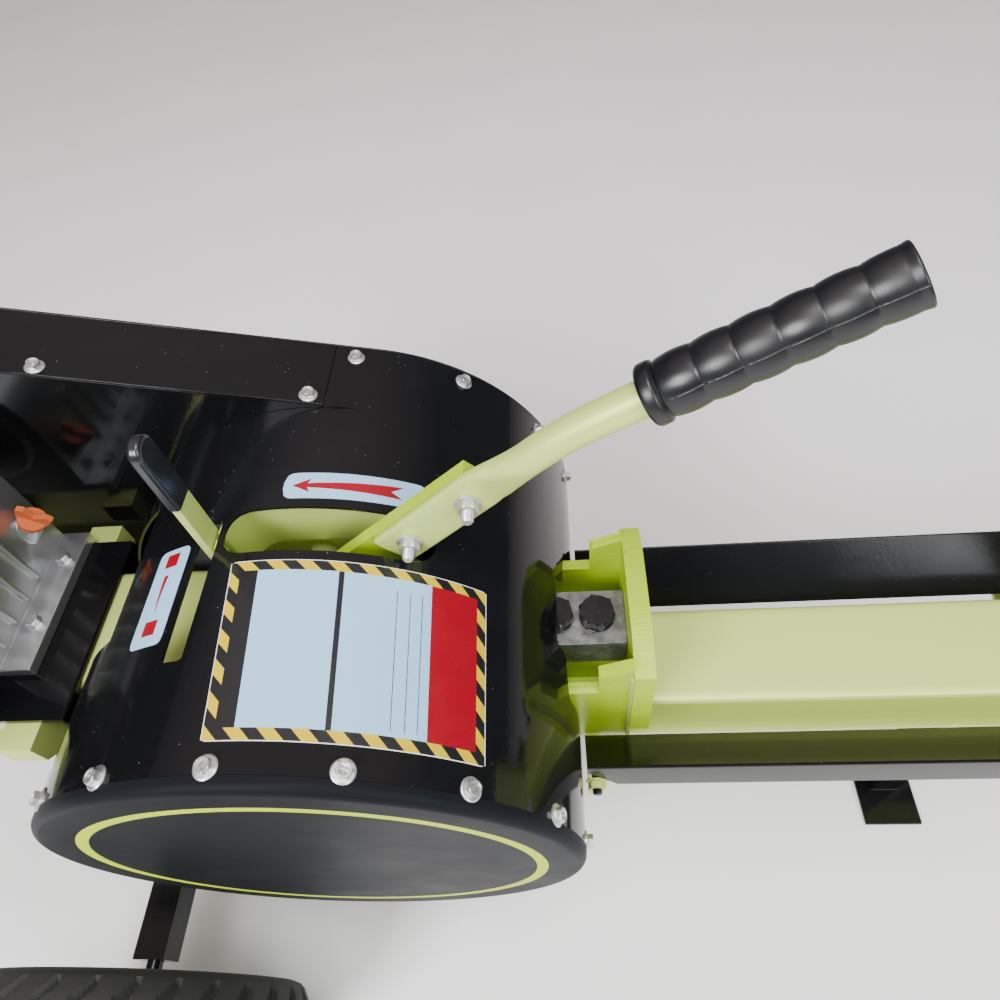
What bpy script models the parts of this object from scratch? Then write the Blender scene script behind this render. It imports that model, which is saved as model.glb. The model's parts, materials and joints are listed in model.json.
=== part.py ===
"""Petrol kinetic log splitter: two flywheels in a drum drive a rack and pusher along a beam.

Metres, +Z up, +X along the beam towards the wedge, -Y the side with the round cover.
Shapes are drawn in the flywheel frame (origin on the flywheel axis, beam centred on y = 0)
and moved so that the whole machine stands on z = 0 with its middle at x = 0.
"""
import math

import bmesh
import bpy
from mathutils import Matrix, Vector

# ---------------------------------------------------------------- driving dimensions
GAP = 0.0003                  # seat clearance between neighbouring pieces
SHEET = 0.0025                # guard and cover sheet
PIVOT_BOLT_R = 0.008
LEVER_BOLT_R = 0.005
LEVER_PLATE_T = 0.005
CRANK_R = 0.0095

# drum around the flywheels
DRUM_R = 0.240
COVER_Y = -0.206              # outer face of the near cover
COVER_EDGE_R = 0.012          # rolled edge of the near cover
SKIRT_DEPTH = 0.024           # cover skirt that goes into the drum wrap
WRAP_Y1 = 0.1397              # where the drum chamber ends and the belt chamber begins
GUARD_FACE_Y = 0.2248         # outer face of the belt guard
SPLIT_DEG = 5.4               # the wrap is split this far below the flywheel axis
SEAM_RUN = 0.040              # straight stretch of the wrap before the belt guard strip
COVER_BOLTS = 16
COVER_BOLT_AF = 0.012         # across the flats of a cover bolt
COVER_BOLT_HEAD = 0.0055
COVER_BOLT_DEG = 113.4        # angle of the first cover bolt
COVER_BOLT_INSET = 0.018
HANDLE_SLOT_X0 = -0.046
HANDLE_SLOT_X1 = 0.1265
HANDLE_SLOT_W = 0.043
HANDLE_SLOT_Y = 0.002
LEVER_SLOT_Y0 = -0.1095
LEVER_SLOT_Y1 = 0.004
LEVER_SLOT_W = 0.018

# beam
BEAM_TOP = -0.0229
BEAM_W = 0.1044
BEAM_H = 0.100
FLANGE_T = 0.008
WEB_T = 0.006
BEAM_BACK = -0.560
BEAM_FRONT = 0.900

# flywheel set
WHEEL_R = 0.205
WHEEL_RIM = 0.040
WHEEL_W = 0.045
WHEEL_WEB = 0.014
NEAR_WHEEL_Y = -0.1325        # middle of each flywheel
FAR_WHEEL_Y = 0.1125
HUB_R = 0.040
LIGHT_HOLES = 5
LIGHT_HOLE_R = 0.025
SHAFT_R = 0.0175
MODULE = 0.005                # tooth module of rack and pinion
PINION_TEETH = 10
RACK_W = 0.036

# belt drive
BELT_Y = 0.172
PULLEY_R = 0.1850
PULLEY_W = 0.024
PITCH_DEPTH = 0.006
DRIVE_RATIO = 5.0             # flywheel pulley to engine pulley, on the pitch line
BELT_W = 0.0165
BELT_T = 0.010
CLUTCH_R = 0.055
ENGINE_X = -0.400             # crankshaft axis
ENGINE_Z = 0.200
GUARD_TAIL_R = 0.140

# rack, pusher and clamp block
RACK_TOP = 0.0620
TOOTH_GAP = 0.003             # rack tooth tips above the pinion tips when released
RACK_TAIL = 0.035             # rack behind the pinion at full stroke
RACK_TEETH_END = 0.040
PUSHER_FACE = 0.3083
PUSHER_T = 0.0187
PUSHER_TOP = 0.1165
PUSHER_CORNER_Z = 0.1025
PUSHER_TOP_HALF = 0.045
PUSHER_HALF = 0.0795
SIDE_IN = 0.0620
SIDE_OUT = 0.0730
SIDE_TOP = 0.0570
SIDE_BOTTOM = -0.0600
SIDE_BACK = 0.160
GUSSET_BACK = 0.2590          # back edge of the gussets behind the face plate
GUSSET_FOOT = 0.0930
PUSHER_FLOOR_T = 0.012
PEDESTAL_TOP = 0.0277
BLOCK_BACK = 0.200
BLOCK_HALF = 0.0288
BLOCK_TOP = 0.0685
CLAMP_BOLTS_X = (0.222, 0.262)
CLAMP_BOLT_R = 0.010
STROKE = 0.430
SPRING_Y = 0.0740             # return spring, beside the far cheek
SPRING_R = 0.0052             # middle of the coil's wire
SPRING_WIRE = 0.0010          # half the wire's thickness
SPRING_CURLS = 16
SPRING_HOLE_R = 0.0095        # hole in the drum wrap that the spring passes through
PEG_R = 0.0030
REAR_PEG = (-0.114, 0.1035)   # peg on the far cheek, in x, z
FRONT_PEG = (0.244, 0.1035)   # peg on the pusher's lug

# frame cheeks and tunnel
CHEEK_T = 0.008
CHEEK_BACK = -0.130
CHEEK_FRONT = 0.120
CHEEK_TOP = 0.150
TUNNEL_HALF = 0.0655
TUNNEL_TOP = 0.0880
TUNNEL_T = 0.004
TUNNEL_BACK = -0.500
BRACKET_REACH = 0.126         # engine brackets stand out this far from the beam's middle

# main handle
PIVOT_X = 0.000
PIVOT_Z = 0.1313
HANDLE_DEG = 41.0             # arm above the horizontal at rest
ARM_W = 0.042
ARM_T = 0.012
ARM_Y0 = -0.001               # near face of the arm bar
ARM_END = 0.236
TAIL_R = 0.015
ROLLER_REACH = 0.0525
ROLLER_R = 0.016
ROLLER_W = 0.0155
ROLLER_PIN_R = 0.004
HANDLE_BOLTS = (0.146, 0.2183)
TUBE_R = 0.0125
TUBE_FLAT = 0.0076            # thickness of the flattened tube end
TUBE_START = 0.124
TUBE_SIDES = 12
BEND_X = 0.2363
BEND_Z = 0.3435
GRIP_DEG = 30.2               # grip above the horizontal at rest
GRIP_START = 0.064            # along the last straight, from the bend
GRIP_LENGTH = 0.156
GRIP_R = 0.0205
GRIP_BULGES = 6

# safety lever
LEVER_X = -0.0605             # middle of the lever bar
LEVER_T = 0.007
LEVER_W = 0.022
LEVER_Y = -0.012
LEVER_PIVOT_Z = 0.120
LEVER_TOP = 0.352
SLEEVE_T = 0.0014
SLEEVE_START = 0.268

# log cradles
CRADLE_T = 0.003
CRADLE_BACK = 0.262
CRADLE_FRONT = 0.790
CRADLE_CHAMFER = 0.030
FOLD_Y = 0.124
FOLD_Z = 0.000
CRADLE_IN_Y = 0.0895
CRADLE_IN_Z = -0.037
CRADLE_LOW_Z = -0.095
CRADLE_OUT_LOW_Z = -0.045
BRACKET_T = 0.006
STRAP_X = (0.4375, 0.6175)    # middle of each pair of cradle straps
STRAP_W = 0.035

# wedge, leg, lifting handle
WEDGE_CLEAR = 0.0267          # between the pusher at full stroke and the wedge
WEDGE_TOP = 0.190
LEG_X = 0.700
LEG_W = 0.040
FOOT_W = 0.140
LOOP_R = 0.0125
LOOP_FRONT = 1.040            # outer end of the lifting handle
LOOP_HALF = 0.130

# running gear
FLYWHEEL_HEIGHT = 0.500       # flywheel axis above the ground
TYRE_R = 0.200
TYRE_W = 0.100
TYRE_STEPS = 20
RIM_R = 0.108
AXLE_X = -0.300
AXLE_W = 0.040
AXLE_HALF = 0.262             # end of the square axle
TYRE_IN = 0.278               # inner side of each tyre
STUB_R = 0.010
HUB_HALF = 0.040              # half the length of a wheel hub

# engine
PLATE_TOP = 0.0943
PLATE_T = 0.006
PLATE_FRONT = -0.239
PLATE_BACK = -0.560
PLATE_HALF = 0.100
CASE_Y0 = -0.055
CASE_Y1 = 0.118
FOOT_T = 0.012                # thickness of the crankcase feet
BLOWER_R = 0.100
BLOWER_Y0 = -0.150
STARTER_Y0 = -0.190
STARTER_R = 0.078
CYLINDER_DEG = 155.0          # cylinder axis seen from the near side
CYLINDER_START = 0.070
FINS = 9
FIN_PITCH = 0.0095
FIN_T = 0.003
HEAD_COVER = 0.018            # depth of the cover on the cylinder head
HEAD_HALF = 0.034
FIN_OUT = 0.012               # fins stand out this far from the barrel
HEAD_BACK = -0.640            # rearmost face of the machine: air cleaner and silencer
TANK_Z0 = 0.325
HOUSING_TOP = 0.318           # top of the blower housing
CASE_TOP = ENGINE_Z + 0.084   # top of the crankcase barrel
TANK_Z1 = 0.425
FILLER_NECK = 0.0155          # length of the oil filler neck

# ---------------------------------------------------------------- derived values
X_SHIFT = -(HEAD_BACK + LOOP_FRONT) / 2
SHIFT = Vector((X_SHIFT, 0.0, FLYWHEEL_HEIGHT))
GROUND = -FLYWHEEL_HEIGHT
BEAM_HALF = BEAM_W / 2
BEAM_BOTTOM = BEAM_TOP - BEAM_H
FLANGE_UNDER = BEAM_TOP - FLANGE_T
WRAP_Y0 = COVER_Y + COVER_EDGE_R + GAP
GUARD_END_Y = GUARD_FACE_Y - SHEET - GAP
BACKPLATE_Y0 = WRAP_Y1 + GAP
BACKPLATE_Y1 = BACKPLATE_Y0 + SHEET
PITCH_R = MODULE * PINION_TEETH / 2
TIP_R = PITCH_R + MODULE
ROOT_R = PITCH_R - 1.25 * MODULE
TOOTH_PITCH = math.pi * MODULE
RACK_TIP_Z = TIP_R + TOOTH_GAP
RACK_ROOT_Z = RACK_TIP_Z + 2.25 * MODULE
PUSHER_BACK = PUSHER_FACE - PUSHER_T
WEDGE_X = PUSHER_FACE + STROKE + WEDGE_CLEAR
RACK_BACK = -STROKE - RACK_TAIL
BLOCK_FRONT = PUSHER_BACK - GAP
CHEEK_IN = BEAM_HALF + GAP
CHEEK_OUT = CHEEK_IN + CHEEK_T
SMALL_PULLEY_R = (PULLEY_R - PITCH_DEPTH) / DRIVE_RATIO + PITCH_DEPTH
PLATE_BOTTOM = PLATE_TOP - PLATE_T
CYLINDER_Y0 = CASE_Y0 + 0.020
CYLINDER_TOP = CYLINDER_START + GAP + FINS * FIN_PITCH + 0.012 + HEAD_COVER
AXLE_Z = GROUND + TYRE_R
ARM_Y1 = ARM_Y0 + ARM_T
CRANK_START = CASE_Y0 + 0.025
SPRING_Z = REAR_PEG[1] - (SPRING_R - PEG_R - SPRING_WIRE - GAP)
TUBE_Y1 = ARM_Y0 - GAP
TUBE_Y0 = TUBE_Y1 - TUBE_FLAT
TUBE_Y = (TUBE_Y0 + TUBE_Y1) / 2
ROLLER_Y1 = ARM_Y0 - GAP
ROLLER_Y0 = ROLLER_Y1 - ROLLER_W

COLOURS = {
    "lime": ((0.60, 0.72, 0.19), 0.35, 0.0),
    "gloss_black": ((0.012, 0.012, 0.014), 0.15, 0.0),
    "dark_grey": ((0.045, 0.047, 0.052), 0.35, 0.0),
    "zinc": ((0.62, 0.63, 0.62), 0.35, 1.0),
    "black_bolt": ((0.03, 0.03, 0.035), 0.40, 0.6),
    "cast_iron": ((0.10, 0.10, 0.11), 0.60, 0.8),
    "steel": ((0.42, 0.42, 0.43), 0.35, 1.0),
    "rubber": ((0.015, 0.015, 0.017), 0.55, 0.0),
    "aluminium": ((0.52, 0.53, 0.54), 0.45, 1.0),
    "orange": ((0.62, 0.13, 0.03), 0.45, 0.0),
    "black_plastic": ((0.02, 0.02, 0.022), 0.45, 0.0),
    "rim_lime": ((0.60, 0.72, 0.19), 0.35, 0.0),
}


# ---------------------------------------------------------------- helpers
def clear_scene():
    for obj in list(bpy.data.objects):
        bpy.data.objects.remove(obj, do_unlink=True)


def material(name):
    """One Principled material for each named finish."""
    mat = bpy.data.materials.get(name)
    if mat is None:
        colour, roughness, metallic = COLOURS[name]
        mat = bpy.data.materials.new(name)
        mat.use_nodes = True
        shader = mat.node_tree.nodes["Principled BSDF"]
        shader.inputs["Base Color"].default_value = (*colour, 1.0)
        shader.inputs["Roughness"].default_value = roughness
        shader.inputs["Metallic"].default_value = metallic
    return mat


def place(name, bm, finish, origin=(0.0, 0.0, 0.0), smooth=False):
    """Makes the named object from a bmesh in the flywheel frame, its origin at 'origin'."""
    bmesh.ops.recalc_face_normals(bm, faces=bm.faces)
    bmesh.ops.translate(bm, verts=bm.verts, vec=-Vector(origin))
    mesh = bpy.data.meshes.new(name)
    bm.to_mesh(mesh)
    bm.free()
    if smooth:
        mesh.shade_smooth()
        mesh.set_sharp_from_angle(angle=math.radians(35))
    obj = bpy.data.objects.new(name, mesh)
    obj.location = Vector(origin) + SHIFT
    obj.data.materials.append(material(finish))
    bpy.context.collection.objects.link(obj)
    return obj


def helper(name, bm):
    """A cutter or a shape that is welded into another one: not a piece by itself."""
    obj = place(name, bm, "steel")
    obj.hide_render = True
    obj.display_type = "WIRE"
    return obj


def boolean(target, bm, operation):
    tool = helper(f"tool_{target.name}_{len(target.modifiers)}", bm)
    mod = target.modifiers.new(operation.title(), "BOOLEAN")
    mod.operation = operation
    mod.solver = "EXACT"
    mod.object = tool


def cut(target, bm):
    boolean(target, bm, "DIFFERENCE")


def weld(target, bm):
    boolean(target, bm, "UNION")


def point(axis, u, v, w):
    """A point with 'w' along the axis and u, v across it, in x, y, z order."""
    if axis == "X":
        return (w, u, v)
    if axis == "Y":
        return (u, w, v)
    return (u, v, w)


def slab(outline, axis, low, high):
    """A closed outline (u, v) extruded along an axis from low to high."""
    bm = bmesh.new()
    verts = [bm.verts.new(point(axis, u, v, low)) for u, v in outline]
    face = bm.faces.new(verts)
    out = bmesh.ops.extrude_face_region(bm, geom=[face])
    moved = [v for v in out["geom"] if isinstance(v, bmesh.types.BMVert)]
    bmesh.ops.translate(bm, verts=moved, vec=Vector(point(axis, 0, 0, high - low)))
    bmesh.ops.recalc_face_normals(bm, faces=bm.faces)
    return bm


def block(x0, x1, y0, y1, z0, z1):
    return slab([(x0, y0), (x1, y0), (x1, y1), (x0, y1)], "Z", z0, z1)


def soft_block(x0, x1, y0, y1, z0, z1, radius, segments=2):
    """A block with all its edges rounded."""
    bm = block(x0, x1, y0, y1, z0, z1)
    bmesh.ops.bevel(bm, geom=list(bm.edges), offset=radius, segments=segments,
                    profile=0.5, affect="EDGES")
    return bm


def lathe(profile, axis, centre, steps):
    """Turns a closed profile of (radius, along) about the axis through 'centre'.

    Points on the axis close the ends, and a profile clear of the axis makes a ring."""
    bm = bmesh.new()
    verts = [bm.verts.new(Vector(point(axis, r, 0.0, a))) for r, a in profile]
    closed = min(r for r, a in profile) > 1e-9
    pairs = list(zip(verts, verts[1:] + verts[:1])) if closed else list(zip(verts, verts[1:]))
    edges = [bm.edges.new(pair) for pair in pairs]
    direction = Vector(point(axis, 0.0, 0.0, 1.0))
    bmesh.ops.spin(bm, geom=verts + edges, cent=(0, 0, 0), axis=direction,
                   angle=math.tau, steps=steps, use_merge=True)
    bmesh.ops.remove_doubles(bm, verts=bm.verts, dist=1e-6)
    bmesh.ops.recalc_face_normals(bm, faces=bm.faces)
    bmesh.ops.translate(bm, verts=bm.verts, vec=Vector(centre))
    return bm


def rod(radius, axis, centre, low, high, steps=16):
    """A plain round bar along an axis; centre is given across the axis."""
    return slab(arc(centre, radius, 0, 360 - 360 / steps, steps - 1), axis, low, high)


def hole(radius, axis, centre, low, high, steps=16):
    """A cutter for a round hole: its flats touch the wanted circle, so a bar of it fits."""
    return rod(radius / math.cos(math.pi / steps), axis, centre, low, high, steps)


def ring(outer, inner, axis, centre, low, high, steps=20):
    return lathe([(inner, low), (outer, low), (outer, high), (inner, high)], axis,
                 point(axis, centre[0], centre[1], 0.0), steps)


def hexagon(across_flats, centre=(0.0, 0.0), turn=0.0):
    radius = across_flats / math.sqrt(3)
    return [(centre[0] + radius * math.cos(turn + k * math.pi / 3),
             centre[1] + radius * math.sin(turn + k * math.pi / 3)) for k in range(6)]


def merge(parts):
    """Several separate solids in one bmesh."""
    whole = bmesh.new()
    for bm in parts:
        mesh = bpy.data.meshes.new("part")
        bm.to_mesh(mesh)
        bm.free()
        whole.from_mesh(mesh)
        bpy.data.meshes.remove(mesh)
    return whole


def turned(bm, degrees, axis, centre):
    """The bmesh turned about an axis through a point."""
    bmesh.ops.rotate(bm, verts=bm.verts, cent=Vector(centre),
                     matrix=Matrix.Rotation(math.radians(degrees), 3, axis))
    return bm


def mirrored(bm):
    """A copy of the bmesh on the other side of the beam."""
    twin = bm.copy()
    bmesh.ops.scale(twin, verts=twin.verts, vec=(1, -1, 1))
    bmesh.ops.reverse_faces(twin, faces=twin.faces)
    return twin


def arc(centre, radius, start, end, steps):
    """Points on an arc, angles in degrees, both ends included."""
    return [(centre[0] + radius * math.cos(math.radians(start + (end - start) * k / steps)),
             centre[1] + radius * math.sin(math.radians(start + (end - start) * k / steps)))
            for k in range(steps + 1)]


def arc_around(centre, radius, start, end, steps):
    """Points of an arc whose flats touch the wanted circle from outside."""
    around = radius / math.cos(math.radians(end - start) / steps / 2)
    return arc(centre, around, start, end, steps)


def arc_plate(centre, outer, inner, start, end, steps):
    """The outline of a curved plate between two radii."""
    return arc(centre, outer, start, end, steps) + arc_around(centre, inner, end, start, steps)


def round_outline(width, height, radius, centre=(0.0, 0.0), steps=4):
    """A rectangle with round corners."""
    u, v = width / 2 - radius, height / 2 - radius
    corners = ((u, v, 0), (-u, v, 90), (-u, -v, 180), (u, -v, 270))
    return [p for cu, cv, a in corners
            for p in arc((centre[0] + cu, centre[1] + cv), radius, a, a + 90, steps)]


def fold(path, thickness):
    """The outline of a folded sheet: a path and its offset to the left, mitred at the folds."""
    side = []
    for k, here in enumerate(path):
        before = Vector(here) - Vector(path[k - 1]) if k else None
        after = Vector(path[k + 1]) - Vector(here) if k < len(path) - 1 else None
        lines = [Vector((-d.y, d.x)).normalized() for d in (before, after) if d is not None]
        if len(lines) == 1:
            offset = lines[0] * thickness
        else:
            middle = (lines[0] + lines[1]).normalized()
            offset = middle * (thickness / middle.dot(lines[0]))
        side.append(tuple(Vector(here) + offset))
    return list(path) + side[::-1]


def belt_tangent(big, small):
    """Angles in degrees where the outer tangents touch two circles on the belt's centres."""
    distance = math.hypot(ENGINE_X, ENGINE_Z)
    heading = math.degrees(math.atan2(ENGINE_Z, ENGINE_X))
    spread = math.degrees(math.acos((big - small) / distance))
    return heading - spread, heading + spread


def belt_outline(big, small, steps=40):
    """A closed outline round the flywheel circle and the engine circle."""
    first, second = belt_tangent(big, small)
    engine = (ENGINE_X, ENGINE_Z)
    return (arc((0.0, 0.0), big, second, first + 360, steps)
            + arc(engine, small, first, second, steps // 2))


def loft(rings):
    """Joins rings of points with the same count into a closed skin with flat ends."""
    bm = bmesh.new()
    loops = [[bm.verts.new(p) for p in ring_points] for ring_points in rings]
    for one, two in zip(loops, loops[1:]):
        count = len(one)
        for k in range(count):
            bm.faces.new((one[k], one[(k + 1) % count], two[(k + 1) % count], two[k]))
    bm.faces.new(loops[0][::-1])
    bm.faces.new(loops[-1])
    bmesh.ops.recalc_face_normals(bm, faces=bm.faces)
    return bm


# ---------------------------------------------------------------- beam and frame
def make_beam():
    half, web = BEAM_HALF, WEB_T / 2
    top, under = BEAM_TOP, FLANGE_UNDER
    low, over = BEAM_BOTTOM, BEAM_BOTTOM + FLANGE_T
    right = [(half, top), (half, under), (web, under), (web, over), (half, over), (half, low)]
    outline = right + [(-y, z) for y, z in reversed(right)]
    beam = place("beam", slab(outline, "X", BEAM_BACK, BEAM_FRONT), "lime")
    weld(beam, cradle_brackets())
    pocket = TIP_R + 0.006
    cut(beam, block(-pocket, pocket, -RACK_W / 2 - 0.006, RACK_W / 2 + 0.006,
                    -TIP_R - 0.004, BEAM_TOP + 0.02))


def cheek_outline():
    return [(CHEEK_BACK, BEAM_BOTTOM), (CHEEK_FRONT, BEAM_BOTTOM), (CHEEK_FRONT, 0.050),
            (0.055, 0.125), (0.030, CHEEK_TOP), (-0.075, CHEEK_TOP), (CHEEK_BACK, 0.100)]


def make_cheeks():
    """Side plates welded to the beam: they carry the bearings and the handle pivot."""
    cheeks = place("frame_cheeks", slab(cheek_outline(), "Y", -CHEEK_OUT, -CHEEK_IN), "lime")
    face = LEVER_X - LEVER_T / 2 - GAP
    weld(cheeks, block(face - LEVER_PLATE_T, face, -CHEEK_IN - 0.001, CHEEK_IN + 0.001,
                       0.088, 0.144))
    weld(cheeks, slab(cheek_outline(), "Y", CHEEK_IN, CHEEK_OUT))
    weld(cheeks, rod(0.014, "Y", (PIVOT_X, PIVOT_Z), -CHEEK_IN - 0.001, ARM_Y0 - GAP, 12))
    weld(cheeks, rod(0.014, "Y", (PIVOT_X, PIVOT_Z), ARM_Y1 + GAP, CHEEK_IN + 0.001, 12))
    weld(cheeks, rod(PEG_R, "Y", REAR_PEG, CHEEK_OUT - 0.001, SPRING_Y + 0.007, 10))
    reach = CHEEK_OUT + 0.01
    cut(cheeks, hole(SHAFT_R + 0.004, "Y", (0, 0), -reach, reach, 14))
    cut(cheeks, hole(PIVOT_BOLT_R + GAP, "Y", (PIVOT_X, PIVOT_Z), -reach, reach, 12))
    cut(cheeks, hole(LEVER_BOLT_R + GAP, "X", (LEVER_Y, LEVER_PIVOT_Z), face - 0.02, face + 0.02, 12))


def make_tunnel():
    """Folded channel behind the drum that the rack runs back into."""
    inner = TUNNEL_HALF - TUNNEL_T
    foot = BEAM_TOP + GAP
    lip = 0.044
    radius = 0.010
    right = [(lip, foot), (TUNNEL_HALF, foot)]
    right += arc((TUNNEL_HALF - radius, TUNNEL_TOP - radius), radius, 0, 90, 4)
    left = [(-y, z) for y, z in reversed(right)]
    inside = radius - TUNNEL_T
    back = [(-lip, foot + TUNNEL_T), (-inner, foot + TUNNEL_T)]
    back += [(-y, z) for y, z in arc((TUNNEL_HALF - radius, TUNNEL_TOP - radius), inside, 0, 90, 4)]
    forth = [(-y, z) for y, z in reversed(back)]
    outline = right + left + back + forth
    tunnel = place("rack_tunnel", slab(outline, "X", TUNNEL_BACK, CHEEK_BACK - GAP), "lime")
    wall = TUNNEL_HALF - 0.001
    rib_outline = [(wall, 0.010), (wall + 0.013, 0.010), (BRACKET_REACH, 0.060),
                   (BRACKET_REACH, PLATE_BOTTOM - GAP), (wall, PLATE_BOTTOM - GAP)]
    for x0 in (-0.300, -0.490):
        rib = slab(rib_outline, "X", x0, x0 + 0.036)
        weld(tunnel, mirrored(rib))
        weld(tunnel, rib)


def make_lift_pad():
    """Sprung rubber pad that holds the rack clear of the pinion."""
    place("rack_lift_pad",
          block(-0.185, -0.150, -RACK_W / 2, RACK_W / 2, BEAM_TOP + GAP, RACK_TIP_Z - GAP), "rubber")


# ---------------------------------------------------------------- drum and belt guard
def make_drum_wrap():
    """Upper and lower halves of the sheet wrapped round the flywheels and the big pulley."""
    inner = DRUM_R - SHEET
    tangent, lower_tangent = belt_tangent(DRUM_R, GUARD_TAIL_R)
    upper = place("drum_wrap_upper",
                  slab(arc_plate((0, 0), DRUM_R, inner, -SPLIT_DEG, 180 + SPLIT_DEG, 30),
                       "Y", WRAP_Y0, WRAP_Y1), "gloss_black", smooth=True)
    run = Vector((-math.sin(math.radians(tangent)), math.cos(math.radians(tangent)))) * SEAM_RUN
    outside = arc((0, 0), DRUM_R, -SPLIT_DEG, tangent, 15)
    inside = arc_around((0, 0), inner, -SPLIT_DEG, tangent, 15)
    outline = (outside + [tuple(Vector(outside[-1]) + run), tuple(Vector(inside[-1]) + run)]
               + inside[::-1])
    weld(upper, slab(outline, "Y", WRAP_Y1 - 0.001, GUARD_END_Y))
    length = HANDLE_SLOT_X1 - HANDLE_SLOT_X0
    middle = ((HANDLE_SLOT_X1 + HANDLE_SLOT_X0) / 2, HANDLE_SLOT_Y)
    cut(upper, slab(round_outline(length, HANDLE_SLOT_W, HANDLE_SLOT_W / 2 - 0.0005, middle, 6),
                    "Z", 0.150, DRUM_R + 0.02))
    cut(upper, block(LEVER_X - LEVER_SLOT_W / 2, LEVER_X + LEVER_SLOT_W / 2,
                     LEVER_SLOT_Y0, LEVER_SLOT_Y1, 0.150, DRUM_R + 0.02))
    notch = [(0.0805, -0.04), (0.0805, SIDE_TOP + 0.006), (0.040, SIDE_TOP + 0.012),
             (0.036, BLOCK_TOP + 0.020), (-0.036, BLOCK_TOP + 0.020), (-0.040, SIDE_TOP + 0.012),
             (-0.0805, SIDE_TOP + 0.006), (-0.0805, -0.04)]
    cut(upper, slab(notch, "X", 0.150, DRUM_R + 0.02))
    cut(upper, hole(SPRING_HOLE_R, "X", (SPRING_Y, SPRING_Z), 0.150, DRUM_R + 0.02, 12))
    side = TUNNEL_HALF + 0.003
    cut(upper, block(-DRUM_R - 0.02, -0.150, -side, side, -0.04, TUNNEL_TOP + 0.003))
    weld(upper, cover_bolts(-SPLIT_DEG + 2, 180 + SPLIT_DEG - 2))

    lower = place("drum_wrap_lower",
                  slab(arc_plate((0, 0), DRUM_R, inner, 180 + SPLIT_DEG + 0.2, 360 - SPLIT_DEG - 0.2, 26),
                       "Y", WRAP_Y0, WRAP_Y1), "gloss_black", smooth=True)
    weld(lower, slab(arc_plate((0, 0), DRUM_R, inner, lower_tangent, 360 - SPLIT_DEG - 0.2, 20),
                     "Y", WRAP_Y1 - 0.001, GUARD_END_Y))
    under = BEAM_BOTTOM - 0.004
    cut(lower, block(0.150, DRUM_R + 0.02, -0.0805, 0.0805, under, 0.02))
    side = CHEEK_OUT + 0.003
    cut(lower, block(-DRUM_R - 0.02, -0.150, -side, side, under, 0.02))
    weld(lower, cover_bolts(180 + SPLIT_DEG + 2, 360 - SPLIT_DEG - 2))
    weld(lower, cover_bolts(-90, -SPLIT_DEG - 2))


def cover_bolt_angles():
    step = 360.0 / COVER_BOLTS
    return [COVER_BOLT_DEG - k * step for k in range(COVER_BOLTS)]


def make_near_cover():
    """Round pan that closes the drum on the near side."""
    edge = COVER_EDGE_R
    rolled = [(DRUM_R - edge + r, COVER_Y + edge + a) for r, a in arc((0, 0), edge, -90, 0, 4)]
    skirt_r = DRUM_R - SHEET - GAP
    inner_edge = [(DRUM_R - edge + r, COVER_Y + edge + a)
                  for r, a in arc((0, 0), edge - SHEET * 2, 0, -90, 1)]
    profile = ([(0, COVER_Y)] + rolled
               + [(skirt_r, COVER_Y + edge), (skirt_r, COVER_Y + edge + SKIRT_DEPTH),
                  (skirt_r - SHEET, COVER_Y + edge + SKIRT_DEPTH)]
               + inner_edge + [(0, COVER_Y + SHEET * 2)])
    place("drum_near_cover", lathe(profile, "Y", (0, 0, 0), 32), "dark_grey", smooth=True)


def make_belt_guard():
    """Back plate, tail strip and outer face of the belt guard."""
    clear = SHEET + GAP
    outline = belt_outline(DRUM_R - clear, GUARD_TAIL_R - SHEET / 2, 26)
    back = place("belt_guard_box", slab(outline, "Y", BACKPLATE_Y0, BACKPLATE_Y1), "gloss_black",
                 smooth=True)
    cut(back, hole(0.030, "Y", (0, 0), BACKPLATE_Y0 - 0.01, BACKPLATE_Y1 + 0.01))
    cut(back, hole(0.026, "Y", (ENGINE_X, ENGINE_Z), BACKPLATE_Y0 - 0.01, BACKPLATE_Y1 + 0.01))
    face = belt_outline(DRUM_R, GUARD_TAIL_R, 30)
    cover = place("belt_guard_face", slab(face, "Y", GUARD_FACE_Y - SHEET, GUARD_FACE_Y),
                  "gloss_black", smooth=True)
    weld(cover, guard_bolts())

    first, second = belt_tangent(DRUM_R, GUARD_TAIL_R)
    run = Vector((-math.sin(math.radians(first)), math.cos(math.radians(first))))
    low = Vector((math.sin(math.radians(second)), -math.cos(math.radians(second))))
    outside, inside = [], []
    for radius, small, line in ((DRUM_R, GUARD_TAIL_R, outside),
                                (DRUM_R - SHEET, GUARD_TAIL_R - SHEET, inside)):
        start = Vector(arc((0, 0), radius, first, first, 1)[0]) + run * (SEAM_RUN + GAP)
        finish = Vector(arc((0, 0), radius, second, second, 1)[0]) + low * GAP
        line += [tuple(start)] + arc((ENGINE_X, ENGINE_Z), small, first, second, 14) + [tuple(finish)]
    weld(back, slab(outside + inside[::-1], "Y", BACKPLATE_Y0, GUARD_END_Y))


def cover_bolt():
    """Hexagon bolt head with its seat at x = 0, its head towards +X and a sunk foot."""
    return slab(hexagon(COVER_BOLT_AF), "X", -SHEET / 2, COVER_BOLT_HEAD)


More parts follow.
